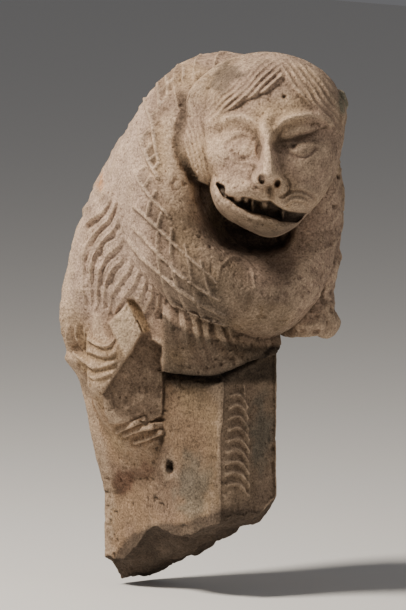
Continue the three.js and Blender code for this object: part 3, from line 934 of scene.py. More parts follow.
@dataclass
class EarStub:
    """The broken stub of the left ear at the edge of the hair."""

    head: Head
    middle: tuple[float, float, float] = (79.0, 52.0, -6.0)
    half: tuple[float, float, float] = (11.5, 15.0, 15.0)

    def place(self, cube: Array) -> Array:
        """Send the points of a cube to the stub.

        Args:
            cube: Points of a cube from -1 to 1.

        Returns:
            Points in millimetres.
        """
        aim = cube / np.linalg.norm(cube, axis=1, keepdims=True)
        spot = np.asarray(self.middle) + aim * np.asarray(self.half)
        spot += aim * (2.0 * grain(spot, 9.0, 28) + 1.0 * grain(spot, 4.0, 29))[:, None]
        return self.head.on(*spot.T)

    def build(self) -> bpy.types.Object:
        """Make the stub."""
        return block_form("ear_stub", 20, self.place)


@dataclass
class Fern:
    """The fern in low relief on the pillar's front."""

    top: float = 66.0
    foot: float = -52.0
    leaves: int = 9
    leaf_foot: float = -58.0
    leaf_top: float = 45.0
    reach_top: float = 24.0
    reach_foot: float = 38.0
    leaf_rise: float = 13.0
    stem_x: float = -3.0
    worn_share: float = 0.6

    def relief(self, x: Array, z: Array) -> Array:
        """Give the fern's height on the front face.

        Args:
            x: Lengths across the face.
            z: Heights on the face.

        Returns:
            Heights in millimetres.
        """
        stem = [(self.stem_x + 2, self.foot - 8), (self.stem_x + 1, 0.0), (self.stem_x - 6, self.top)]
        height = 3.0 * bell(off_curve(stem, x, z)[0], 2.2)
        for number in range(self.leaves):
            share = number / (self.leaves - 1)
            root = mix(self.leaf_foot, self.leaf_top, share)
            for side in Side:
                worn = side is Side.WORN
                spread = side.value * mix(self.reach_foot, self.reach_top, share)
                spread *= self.worn_share if worn else 1.0
                start = self.stem_x + 1.5 - 5.0 * max(0.0, root / self.top)
                tip = root + self.leaf_rise
                curl = [(start, root - 3.0), (start + 0.28 * spread, root + 0.62 * self.leaf_rise),
                        (start + 0.62 * spread, tip), (start + spread, tip - 1.0)]
                away, along, _ = off_curve(curl, x, z, 20)
                leaf = bell(away, 2.8 - 0.5 * along) * (1.0 - 0.3 * along)
                height = np.maximum(height, (0.9 if worn else 4.2) * leaf)
        return height


@dataclass
class Pillar:
    """The slim pillar under the lion, broken off at its foot."""

    width: float = 94.0
    depth: float = 202.0
    rear: float = 22.0
    top: float = 108.0
    corner: float = 9.0
    worn_corner: float = 12.0
    taper: float = 10.0
    taper_span: tuple[float, float] = (10.0, 80.0)
    foot_level: float = -176.0
    foot_slope: float = 0.46
    chip: tuple[float, float, float] = (33.0, -78.0, 46.0)
    panel_depth: float = 4.0
    panel_inset: float = 4.0
    panel_top: float = 104.0
    groove_depth: float = 9.0
    groove_drop: float = 3.0
    groove_width: float = 5.0
    cuts: int = 130

    def foot(self, x: Array, y: Array) -> Array:
        """Give the height of the broken foot, with the chip out of its right side and its worn corners.

        Args:
            x: Lengths across the pillar.
            y: Lengths along it.

        Returns:
            Heights in millimetres.
        """
        spot = np.stack([x, y, 0.0 * x], axis=1)
        height, middle, width = self.chip
        level = self.foot_level + 0.05 * x - self.foot_slope * y
        level = level + height * bell(y - middle, width) * smooth(-x, 8.0, 47.0) ** 0.8
        level += 30.0 * smooth(-x, 8.0, 40.0) * bell(y, 22.0)
        level += 20.0 * smooth(x - y, 212.0, 250.0)
        return level + 4.0 * grain(spot, 34.0, 31) + 3.6 * grain(spot, 13.0, 32) + 2.0 * grain(spot, 6.0, 33)

    def place(self, cube: Array) -> Array:
        """Send the points of a cube to the pillar.

        Args:
            cube: Points of a cube from -1 to 1.

        Returns:
            Points in millimetres.
        """
        half = np.array([self.width / 2.0, (self.depth + self.rear) / 2.0])
        flat = cube[:, :2] * half
        worn = np.all(cube[:, :2] < 0.0, axis=1) * fall(cube[:, 2], -0.9, -0.3)
        corner = self.corner + self.worn_corner * worn
        core = np.clip(flat, corner[:, None] - half, half - corner[:, None])
        edge = flat - core
        length = np.linalg.norm(edge, axis=1, keepdims=True)
        largest = np.max(np.abs(edge), axis=1, keepdims=True)
        flat = core + edge / np.maximum(length, 1e-9) * largest
        x, y = flat[:, 0], flat[:, 1] + (self.rear - self.depth) / 2.0
        z = mix(self.foot(x, y), self.top, (cube[:, 2] + 1.0) / 2.0)
        rear = fall(-y, 0.0, 0.75 * self.depth)
        front = cube[:, 1] < -0.9999
        x = x - cube[:, 0] * self.taper * rear * smooth(-z, *self.taper_span)
        from_right = self.width / 2.0 + 9.0 * bell(z + 20.0, 36.0) + x
        inside = np.minimum(from_right, self.width / 2.0 - x) - self.panel_inset
        sunk = smooth(inside, 0.0, 3.0) * fall(z, self.panel_top - 4.0, self.panel_top)
        height = np.zeros(len(x))
        height[front] = sunk[front] * (Fern().relief(x[front], z[front]) - self.panel_depth)
        chest = Chest()
        groove = self.groove_depth * bell(z - chest.over_pillar(x, y) + self.groove_drop, self.groove_width)
        return np.stack([x + np.sign(-x) * groove * (~front), y - height + groove * front, z], axis=1)

    def build(self) -> bpy.types.Object:
        """Make the pillar."""
        return block_form("pillar", self.cuts, self.place)


@dataclass
class Limb:
    """An upright limb whose half sizes follow its height."""

    middle: tuple[float, float]
    top: float
    foot: float
    half: Callable[[Array], tuple[Array, Array]]

    def place(self, around: Array, down: Array) -> Array:
        """Give the smooth limb.

        Args:
            around: Share round it.
            down: Share from its top to its foot.

        Returns:
            Points in millimetres.
        """
        angle = TURN * around
        z = mix(self.top, self.foot, down)
        spread = np.clip(8.0 * np.minimum(down, 1.0 - down), 0.0, 1.0)
        half_width, half_depth = self.half(z)
        return np.stack([self.middle[0] + half_width * np.cos(angle) * spread,
                         self.middle[1] + half_depth * np.sin(angle) * spread, z], axis=1)


@dataclass
class Foreleg:
    """The right foreleg on the pillar's side, with its stump, the flat scar and the folds below."""

    y: float = -58.0
    half_depth: float = 53.0
    sunk: float = 20.0
    side: float = 47.0
    top: float = 188.0
    foot: float = -75.0
    swell: Pairs = (
        (-75, -10), (-40, 3), (0, 18), (32, 42), (60, 60), (105, 62), (140, 58), (165, 48), (188, 24))
    scar: Plane = ((-47, -108, 60), (-0.54, -0.81, -0.2))
    scar_top: Plane = ((-85, -77, 87), (0.54, -0.62, -0.57))
    scar_foot: float = 20.0
    facet: Plane = ((-88, -88, 122), (-0.66, -0.62, 0.42))
    crest: Plane = ((-77, -94, 141), (-0.261, -0.898, 0.337))

    @staticmethod
    def beyond(points: Array, plane: Plane, uneven: float, seed: int) -> Array:
        """Measure how far points lie outside a rough plane.

        Args:
            points: Positions in millimetres.
            plane: A point on the plane and the way that it looks.
            uneven: How rough it is.
            seed: Which roughness.

        Returns:
            Distances, positive outside.
        """
        normal = np.array(plane[1]) / np.linalg.norm(plane[1])
        rough = uneven * (grain(points, 22.0, seed) + 0.5 * grain(points, 8.0, seed + 1))
        return (points - np.array(plane[0])) @ normal + rough

    def place(self, around: Array, down: Array) -> Array:
        """Give the leg with its breaks.

        Args:
            around: Share round it.
            down: Share from its top to its foot.

        Returns:
            Points in millimetres.
        """
        heights, outs = np.array(self.swell, dtype=float).T
        limb = Limb((self.sunk - self.side, self.y), self.top, self.foot,
                    lambda z: (np.interp(z, heights, outs) + self.sunk, np.full_like(z, self.half_depth)))
        points = limb.place(around, down)
        core = points * np.array([0.0, 0.0, 1.0]) + np.array([30.0 - self.side, self.y + 25.0, 0.0])
        level = self.scar_foot + 4.0 * grain(points, 20.0, 41)
        scarred = (self.beyond(points, self.scar_top, 1.5, 43) > 0.0) & (points[:, 2] > level)
        for plane, uneven, seed, region in ((self.scar, 1.6, 45, scarred), (self.facet, 0.8, 47, True),
                                            (self.crest, 0.8, 49, True)):
            past = self.beyond(points, plane, uneven, seed)
            start = self.beyond(core, plane, 0.0, seed)
            kept = np.clip(start / np.minimum(start - past, -1e-6), 0.0, 1.0)
            share = np.where((past > 0.0) & region, kept, 1.0)
            points = core + (points - core) * share[:, None]
        return points

    def build(self) -> bpy.types.Object:
        """Make the leg."""
        return round_form("foreleg", 190, 170, self.place)


@dataclass
class Haunch:
    """The flank's foot behind the leg, which runs down the pillar's rear edge."""

    side: float = 47.0
    sunk: float = 20.0
    y: float = -20.0
    half_depth: float = 72.0
    top: float = 120.0
    foot: float = -95.0
    swell: Pairs = (
        (-95, -14), (-60, -6), (-22, 8), (16, 18), (40, 25), (64, 33), (76, 44), (88, 57), (100, 62),
        (120, 60))

    def build(self) -> bpy.types.Object:
        """Make the flank's foot."""
        heights, outs = np.array(self.swell, dtype=float).T
        limb = Limb((self.sunk - self.side, self.y), self.top, self.foot,
                    lambda z: (np.interp(z, heights, outs) + self.sunk, np.full_like(z, self.half_depth)))
        return round_form("haunch", 130, 130, limb.place)


@dataclass
class Shoulder:
    """The stump of the left shoulder, broken off level."""

    middle: tuple[float, float] = (88.0, -202.0)
    half: tuple[float, float] = (44.0, 46.0)
    top: float = 275.0
    foot: float = 96.0
    level: float = 118.0
    swell: Pairs = (
        (96, 0.74), (118, 0.78), (134, 0.89), (150, 0.82), (168, 0.74), (190, 0.89), (209, 0.95), (240, 0.8),
        (275, 0.3))

    def place(self, around: Array, down: Array) -> Array:
        """Give the stump with its break.

        Args:
            around: Share round it.
            down: Share from its top to its foot.

        Returns:
            Points in millimetres.
        """
        heights, swells = np.array(self.swell).T
        limb = Limb(self.middle, self.top, self.foot,
                    lambda z: tuple(half * np.interp(z, heights, swells) for half in self.half))
        points = limb.place(around, down)
        rough = 3.0 * grain(points, 20.0, 53) + 1.6 * grain(points, 9.0, 54)
        points[:, 0] += rough * np.cos(TURN * around)
        points[:, 1] += rough * np.sin(TURN * around)
        flat = points * np.array([1.0, 1.0, 0.0])
        broken = self.level - 0.1 * (points[:, 0] - self.middle[0])
        broken += 5.0 * grain(flat, 24.0, 51) + 2.5 * grain(flat, 9.0, 52)
        points[:, 2] = np.maximum(points[:, 2], broken)
        return points

    def build(self) -> bpy.types.Object:
        """Make the stump."""
        return round_form("shoulder", 120, 100, self.place)


@dataclass(frozen=True)
class Break:
    """A flat break seen from the front right: its clockwise corners and three points of its plane."""

    corners: Pairs
    plane: tuple[tuple[float, float, float], ...]
    fill: float
    uneven: float

    def past(self, points: Array) -> Array:
        """Measure how far points lie in front of the break, towards the viewer.

        Args:
            points: Positions in millimetres.

        Returns:
            Distances, positive in front.
        """
        rows = np.array(self.plane, dtype=float)
        slope = np.linalg.solve(np.column_stack([rows[:, :2], np.ones(3)]), rows[:, 2])
        right, up = points @ VIEW.right, points @ VIEW.up
        rough = self.uneven * (grain(points, 22.0, 45) + 0.5 * grain(points, 8.0, 46))
        return points @ VIEW.out - (right * slope[0] + up * slope[1] + slope[2]) + rough


@dataclass
class FineCarving:
    """Marks laid out as they are seen from the front right. Lengths run right and up from the origin."""

    swirl: tuple[float, float] = (-26.0, 116.0)
    swirl_gap: float = 10.0
    swirl_height: float = 3.4
    swirl_span: tuple[float, float, float, float] = (12.0, 18.0, 46.0, 62.0)
    fingers: tuple[Pairs, ...] = (
        ((-10, -2), (2, 4), (20, 12)), ((-2, -6), (13, 0), (29, 3)), ((10, -14), (25, -9), (39, -3)))
    finger_height: float = 4.5
    hair_furrow: Pairs = (
        (64, 384), (64, 368), (61, 350), (58, 335), (60, 318), (67, 304), (76, 289))
    furrow_width: float = 5.0
    furrow_depth: float = 3.0
    net_width: float = 1.9
    net_height: float = 4.4
    net_long: tuple[Pairs, ...] = (
        ((46, 405), (47, 385)),
        ((36, 397), (38, 372)),
        ((66, 416), (65, 402)),
        ((21, 381), (24.5, 366), (29, 353), (33.7, 324), (37, 310)),
        ((15, 347), (17, 333), (21, 319), (27, 306), (36, 290)),
        ((11, 297), (15, 286), (29, 266), (41, 254), (49, 245)),
        ((9.5, 256), (21, 247), (46, 222), (67, 202), (90, 182), (103, 170)),
        ((8, 233), (24.5, 216), (44, 195), (65, 176), (90, 159), (106, 150)),
        ((3, 218), (20, 197), (42, 177), (65, 159), (90, 143), (112, 132)),
        ((55, 145), (67, 139), (90, 128), (112, 121)))
    net_cells: Pairs = ((10, 260), (30, 260), (120, 150), (120, 116), (50, 146), (4, 215))
    net_cross: tuple[Pairs, ...] = (
        ((47, 396), (38, 388)), ((57, 405), (48, 398)), ((46, 382), (38, 374)), ((36, 367), (28, 359)),
        ((26, 343), (19, 335)), ((29, 328), (21, 319)), ((34, 316), (26, 309)), ((37, 306), (31, 298)),
        ((22, 302), (12, 296)), ((28, 290), (21, 279)), ((34, 274), (28, 263), (24, 246)),
        ((40, 248), (36, 228), (37, 197), (44, 163), (53, 145)),
        ((52, 230), (51, 207), (55, 177), (66, 145), (72, 131)),
        ((67, 212), (72, 189), (77, 162), (84, 139), (89, 129)),
        ((85, 193), (92, 168), (97, 155)))
    arch: Pairs = ((104, 164), (106, 183), (114, 194), (124, 199), (137, 194), (144, 182), (146, 163))
    hole: tuple[float, float] = (49.0, -44.0)
    hole_half: tuple[float, float] = (4.6, 8.0)
    hole_depth: float = 8.0
    scar: Break = Break(((19, 109), (40, 96), (41, 17), (24, 8), (-21, 7), (-25, 18), (-28, 41)),
                        ((19, 109, 136), (-28, 41, 121), (42, 17, 113)), 10.0, 1.4)
    facet: Break = Break(((1, 146), (18, 112), (6, 92), (-2, 83), (-14, 109), (-21, 123), (-10, 134)),
                         ((1, 146, 147), (-21, 123, 139), (18, 112, 149)), 20.0, 0.6)
    strip: Break = Break(((0, 151), (12, 150), (18, 136), (31, 116), (19, 111), (1, 145)),
                         ((1, 145, 147), (19, 111, 149), (31, 116, 137)), 20.0, 0.6)
    worn_side: Pairs = ((-75, 150), (-24, 140), (-24, 50), (-75, 40))

    def flattened(self, points: Array, normals: Array) -> Array:
        """Break the skin off flat at the scar and at the two facets of the stump.

        Args:
            points: The skin's points.
            normals: Its normals.

        Returns:
            The broken skin's points.
        """
        right, up, facing = self.seen(points, normals)
        for flat in (self.scar, self.strip, self.facet):
            past = flat.past(points)
            ragged = flat.uneven * grain(points, 9.0, 47)
            seen = (facing > 0.0) & (np.abs(past) < 45.0)
            share = within(flat.corners, right + ragged, up + ragged, 1.2) * seen
            points = points - np.outer(share * np.maximum(past, -flat.fill), VIEW.out)
        return points

    def furrow(self, right: Array, up: Array) -> Array:
        """Give the share of the furrow between the ruff and the hair."""
        return bell(off_curve(self.hair_furrow, right, up, 64)[0], self.furrow_width)

    def net(self, points: Array, right: Array, up: Array) -> Array:
        """Give the net of the ruff's right side and the arch on the breast.

        Args:
            points: The skin's points.
            right: Their lengths to the right.
            up: Their lengths up.

        Returns:
            Shares from 0 between the lines to 1 on them.
        """
        net = np.zeros(len(points))
        for lines, strength in ((self.net_long, 1.0), (self.net_cross, 0.8), ((self.arch,), 0.4)):
            for line in lines:
                low, high = np.min(line, axis=0) - 6.0, np.max(line, axis=0) + 6.0
                near = (right > low[0]) & (right < high[0]) & (up > low[1]) & (up < high[1])
                away = off_curve(line, right[near], up[near], 160)[0]
                net[near] = np.maximum(net[near], strength * bell(away, self.net_width))
        return net * (0.8 + 0.4 * grain(points, 15.0, 57))

    @staticmethod
    def seen(points: Array, normals: Array) -> tuple[Array, Array, Array]:
        """Give each point's lengths right and up, and how far its skin faces the viewer."""
        return points @ VIEW.right, points @ VIEW.up, smooth(normals @ VIEW.out, 0.05, 0.35)

    def relief(self, points: Array, normals: Array) -> Array:
        """Give the height of the marks.

        Args:
            points: The skin's points.
            normals: Its normals.

        Returns:
            Heights in millimetres.
        """
        right, up, facing = self.seen(points, normals)
        height = np.zeros(len(points))
        away = np.hypot(right - self.swirl[0], (up - self.swirl[1]) / 1.1)
        ring = away / self.swirl_gap + 0.45 * grain(points, 26.0, 55) + 0.012 * (right - self.swirl[0])
        share = ring - np.floor(ring)
        folds = share ** 1.8 * fall(share, 0.78, 1.0) * 1.6 - 0.3
        region = span(away, *self.swirl_span)
        region *= fall(up, 112.0, 124.0) * fall(right, -16.0, -10.0)
        for flat in (self.facet, self.scar):
            region *= 1.0 - within(flat.corners, right, up, 3.0)
        height += self.swirl_height * folds * region
        for finger in self.fingers:
            near = (np.abs(right - finger[1][0]) < 40.0) & (np.abs(up - finger[1][1]) < 24.0) & (facing > 0.0)
            distance = off_curve(finger, right[near], up[near])[0]
            height[near] += self.finger_height * bell(distance, 2.3) - 1.6 * bell(distance - 4.4, 1.6)
        height += self.net_height * self.net(points, right, up) - self.furrow_depth * self.furrow(right, up)
        aside, above = right - self.hole[0], up - self.hole[1]
        pit = np.hypot(aside / self.hole_half[0], (above + 0.4 * aside) / self.hole_half[1])
        height -= self.hole_depth * fall(pit + 0.25 * grain(points, 6.0, 56), 0.6, 1.05)
        return height * facing


@dataclass(frozen=True)
class ToneSpot:
    """A ragged spot of colour on the side that is seen: discoloured stone, and painted shade at the hole."""

    colour: Colour
    share: float
    at: tuple[float, float]
    size: tuple[float, float]
    soft: float
    seed: int


@dataclass
class Skin:
    """The finished skin, point by point: where it is seen, where it lies on the face and how hollow it is."""

    points: Array
    normals: Array
    depth: Array

    def __post_init__(self) -> None:
        """Work out where the points are seen, and where they lie from the face and the chest's rim."""
        self.marks = FineCarving()
        self.right, self.up, self.facing = self.marks.seen(self.points, self.normals)
        head = Head()
        self.face = head.axes.lengths(head.centre, self.points)
        self.rim = Chest().over_pillar(self.points[:, 0], self.points[:, 1])

    def inside(self, corners: Pairs, soft: float) -> Array:
        """Give the share of a shape on the side that is seen."""
        return self.facing * within(corners, self.right, self.up, soft)


@dataclass(frozen=True)
class Patina:
    """The stone's tones: tan ground, dark breaks, painted shade in the hollows and under overhangs, painted
    light on the flank and face, discolourings and pale ridges.
    """

    tan: Colour = (0.31, 0.215, 0.142)
    upper_stone: Colour = (0.33, 0.245, 0.195)
    ochre: Colour = (0.36, 0.265, 0.165)
    umber: Colour = (0.25, 0.18, 0.14)
    painted_flank_light: Colour = (0.49, 0.375, 0.305)
    pillar_front_stain_and_shade: Colour = (0.17, 0.13, 0.10)
    scar: Colour = (0.185, 0.135, 0.10)
    # colour of the painted shade in the hollows
    hollow_shade: Colour = (0.09, 0.062, 0.043)
    net_ground: Colour = (0.19, 0.155, 0.125)
    net_line: Colour = (0.52, 0.42, 0.34)
    facet: Colour = (0.45, 0.36, 0.26)
    mouth: Colour = (0.11, 0.088, 0.07)
    pale_ridge: Colour = (0.50, 0.385, 0.285)
    strip: Colour = (0.33, 0.225, 0.125)
    painted_shadow_under_chest: Colour = (0.045, 0.033, 0.025)
    broken_foot: Colour = (0.075, 0.056, 0.042)
    dark_foot: Colour = (0.07, 0.054, 0.043)
    low_grime: Colour = (0.10, 0.075, 0.058)
    stains_and_pit_shade: tuple[ToneSpot, ...] = (
        ToneSpot((0.14, 0.075, 0.05), 0.8, (-2.0, -60.0), (11.0, 15.0), 0.35, 73),  # red, low on the side
        ToneSpot((0.15, 0.085, 0.06), 0.7, (20.0, -48.0), (11.0, 9.0), 0.35, 74),  # red, beside the hole
        # painted shade in the pit of the hole
        ToneSpot((0.03, 0.022, 0.016), 0.95, (49.0, -44.0), (5.5, 9.0), 0.2, 75),  # hole
        ToneSpot((0.21, 0.2, 0.165), 0.6, (76.0, -66.0), (18.0, 36.0), 0.5, 76),  # grey, on the side
        ToneSpot((0.44, 0.2, 0.07), 0.7, (-33.0, 287.0), (5.0, 12.0), 0.5, 77),  # rust, on the flank's edge
        ToneSpot((0.16, 0.17, 0.13), 0.8, (253.0, 380.0), (9.0, 16.0), 0.4, 78),  # green, on the ear's stub
        ToneSpot((0.10, 0.096, 0.08), 0.7, (154.0, -3.0), (12.0, 36.0), 0.5, 80),  # grey, beside the fern
        ToneSpot((0.11, 0.085, 0.066), 0.8, (117.0, 410.0), (17.0, 12.0), 0.3, 81),  # dark, on the hair
        ToneSpot((0.13, 0.10, 0.078), 0.7, (107.0, 395.0), (10.0, 9.0), 0.3, 82))  # dark, below it
    foot_edge: Pairs = ((-17, -149.5), (1.5, -124), (29, -110), (67, -106), (96, -97), (121, -90), (151, -93))
    # lower edge of the ruff as seen; below it the chest takes painted shadow
    ruff_edge: Pairs = ((20, 152), (55, 124), (84, 109), (142, 98), (180, 96))
    # where painted shade darkens round the lion's left eye
    eye_socket: Hump = Hump(1.0, (29.0, 2.0), (19.0, 10.0))
    shade_span: tuple[float, float] = (0.25, 1.25)

    def ground(self, skin: Skin) -> Iterator[Layer]:
        """Give the layers of the bare stone.

        Args:
            skin: The skin to lay them on.

        Returns:
            Colours and their shares at each point.
        """
        z = skin.points[:, 2]
        yield self.upper_stone, 0.8 * smooth(z, 90.0, 170.0)
        yield self.ochre, 0.6 * smooth(grain(skin.points, 48.0, 71), -0.1, 0.5)
        yield self.umber, 0.55 * smooth(grain(skin.points, 34.0, 72), 0.0, 0.6)
        # painted light: the flank that faces the light is made paler
        yield self.painted_flank_light, 0.8 * fall(skin.right, 10.0, 40.0) * smooth(skin.up, 110.0, 160.0)
        # the pillar's front face darker: partly its own darker, discoloured stone, partly painted shade on
        # the face turned from the light
        front = smooth(-skin.normals[:, 1], 0.5, 0.8) * fall(z, 85.0, 105.0)
        yield self.pillar_front_stain_and_shade, 0.75 * front

    def carving(self, skin: Skin) -> Iterator[Layer]:
        """Give the layers that follow the carving.

        Args:
            skin: The skin to lay them on.

        Returns:
            Colours and their shares at each point.
        """
        marks = skin.marks
        x, y, out = skin.face
        yield self.scar, 0.85 * skin.inside(marks.scar.corners, 2.0)
        # painted shade: darker in the hollows, more so on the right, the side turned from the light
        yield self.hollow_shade, mix(0.4, 0.8, smooth(skin.right, 0.0, 40.0)) * smooth(skin.depth, 0.2, 2.0)
        yield self.net_ground, 0.6 * smooth(-skin.up, -215.0, -150.0) * skin.inside(marks.net_cells, 6.0)
        net = marks.net(skin.points, skin.right, skin.up)
        yield self.net_line, 0.75 * skin.facing * smooth(net, 0.25, 0.8)
        yield self.facet, 0.8 * skin.inside(marks.facet.corners, 1.5)
        # painted shade in the open mouth, darkest in its hollows
        opening = Muzzle().opening(x, y) * smooth(out, 10.0, 20.0)
        yield self.mouth, 0.7 * opening * smooth(skin.depth, -0.6, 0.8)
        # paler on raised ridges
        yield self.pale_ridge, 0.65 * smooth(-skin.depth, 0.15, 1.5)

    def stained_and_pit_shaded(self, skin: Skin) -> Iterator[Layer]:
        """Give the layers of the discoloured spots and of the painted shade in the hole.

        Args:
            skin: The skin to lay them on.

        Returns:
            Colours and their shares at each point.
        """
        for each_spot in self.stains_and_pit_shade:
            aside, above = skin.right - each_spot.at[0], skin.up - each_spot.at[1]
            away = np.hypot(aside / each_spot.size[0], above / each_spot.size[1])
            away += 0.5 * grain(skin.points, 9.0, each_spot.seed)
            cover = fall(away, 1.0 - each_spot.soft, 1.0 + each_spot.soft)
            yield each_spot.colour, each_spot.share * skin.facing * cover

    def broken(self, skin: Skin) -> Iterator[Layer]:
        """Give the layers of the leg's narrow facet, the painted shadow under the chest and the broken foot.

        Args:
            skin: The skin to lay them on.

        Returns:
            Colours and their shares at each point.
        """
        _, y, z = skin.points.T
        yield self.strip, 0.75 * skin.inside(skin.marks.strip.corners, 1.5)
        # painted shadow in a band just under the chest's rim
        under = bell(z - skin.rim + 3.0, 6.0) * smooth(skin.right, 40.0, 70.0)
        yield self.painted_shadow_under_chest, 0.85 * under * fall(z, 108.0, 114.0)
        yield self.broken_foot, 0.9 * smooth(-skin.normals[:, 2], 0.1, 0.5) * fall(z, -70.0, -50.0)
        edge = np.interp(skin.right, *np.array(self.foot_edge, dtype=float).T)
        above = skin.up - edge + 3.0 * grain(skin.points, 9.0, 83)
        yield self.dark_foot, 0.8 * skin.facing * fall(above, -3.0, 3.0)
        low = fall(z + 0.46 * y, -168.0, -140.0)
        yield self.low_grime, 0.6 * low * smooth(grain(skin.points, 14.0, 79), -0.3, 0.4)

    def shade(self, skin: Skin) -> Array:
        """Give the share by which parts are darker, mostly painted shade, partly darker patina, negative
        where painted light brightens the side of the face towards the light.

        Args:
            skin: The skin that is shaded.

        Returns:
            Shares of each point's tone.
        """
        right, up, facing = skin.right, skin.up, skin.facing
        x, y, out = skin.face
        front = smooth(out, 15.0, 35.0)
        # painted shade on the lower jaw, with its darker patina
        jaw = front * span(y, -115.0, -105.0, -80.0, -66.0)
        # painted shadow on the hair beside the cheek
        hair = smooth(-x, 52.0, 66.0) * smooth(y, 30.0, 45.0) * smooth(out, 10.0, 25.0)
        # painted light: the side of the face towards the light made brighter
        painted_face_light = front * span(y, -60.0, -40.0, 40.0, 60.0) * fall(x, 15.0, 45.0)
        # painted shade round the lion's left eye, with the jaw and hair terms, less the painted face light
        total = 0.4 * front * self.eye_socket.relief(x, y) + 0.3 * jaw + 0.22 * hair - 0.2 * painted_face_light
        # painted shade on the breast below the chin, with its darker patina
        breast = span(right, 40.0, 95.0, 175.0, 215.0) * span(up, 85.0, 115.0, 215.0, 262.0)
        # painted shadow on the chest under the ruff's overhang
        edge = np.interp(right, *np.array(self.ruff_edge, dtype=float).T)
        chest = smooth(right, 36.0, 46.0) * smooth(up, 50.0, 60.0) * smooth(edge - up, -2.0, 5.0)
        # add painted shade in the furrow between the ruff and the hair, on the breast and on the chest
        total += 0.45 * facing * skin.marks.furrow(right, up) + 0.4 * breast + 0.7 * chest
        # the pillar's side and the low part beside it darker: painted shade, partly its own darker stone
        side = smooth(right, 15.0, 50.0) * span(up, -110.0, -60.0, 50.0, 80.0)
        side *= smooth(-skin.normals[:, 0], 0.4, 0.7)
        side += 0.4 * fall(right, 15.0, 50.0) * fall(up, -40.0, 10.0) * facing
        # painted shade on the pillar below the chest's rim, fading downwards
        below = skin.rim - skin.points[:, 2]
        under = span(below, -6.0, 2.0, 5.0, 55.0) * smooth(right, 44.0, 56.0)
        return total + 0.4 * side + 0.3 * under * facing

    def dress(self, mesh: bpy.types.Mesh, skin: Skin) -> None:
        """Write the tones on the mesh.

        Args:
            mesh: The mesh to dress.
            skin: Its skin.
        """
        tone = np.tile(np.array(self.tan), (len(skin.points), 1))
        for coat in (self.ground, self.carving, self.stained_and_pit_shaded, self.broken):
            for colour, share in coat(skin):
                tone = mix(tone, np.array(colour), np.clip(share, 0.0, 1.0)[:, None])
        # apply the painted shade and the painted light to the tones
        tone *= np.clip(1.0 - self.shade(skin), *self.shade_span)[:, None]
        colours = np.ones((len(tone), 4), dtype=np.float32)
        colours[:, :3] = tone
        layer = mesh.attributes.new("tone", "FLOAT_COLOR", "POINT")
        layer.data.foreach_set("color", colours.ravel())


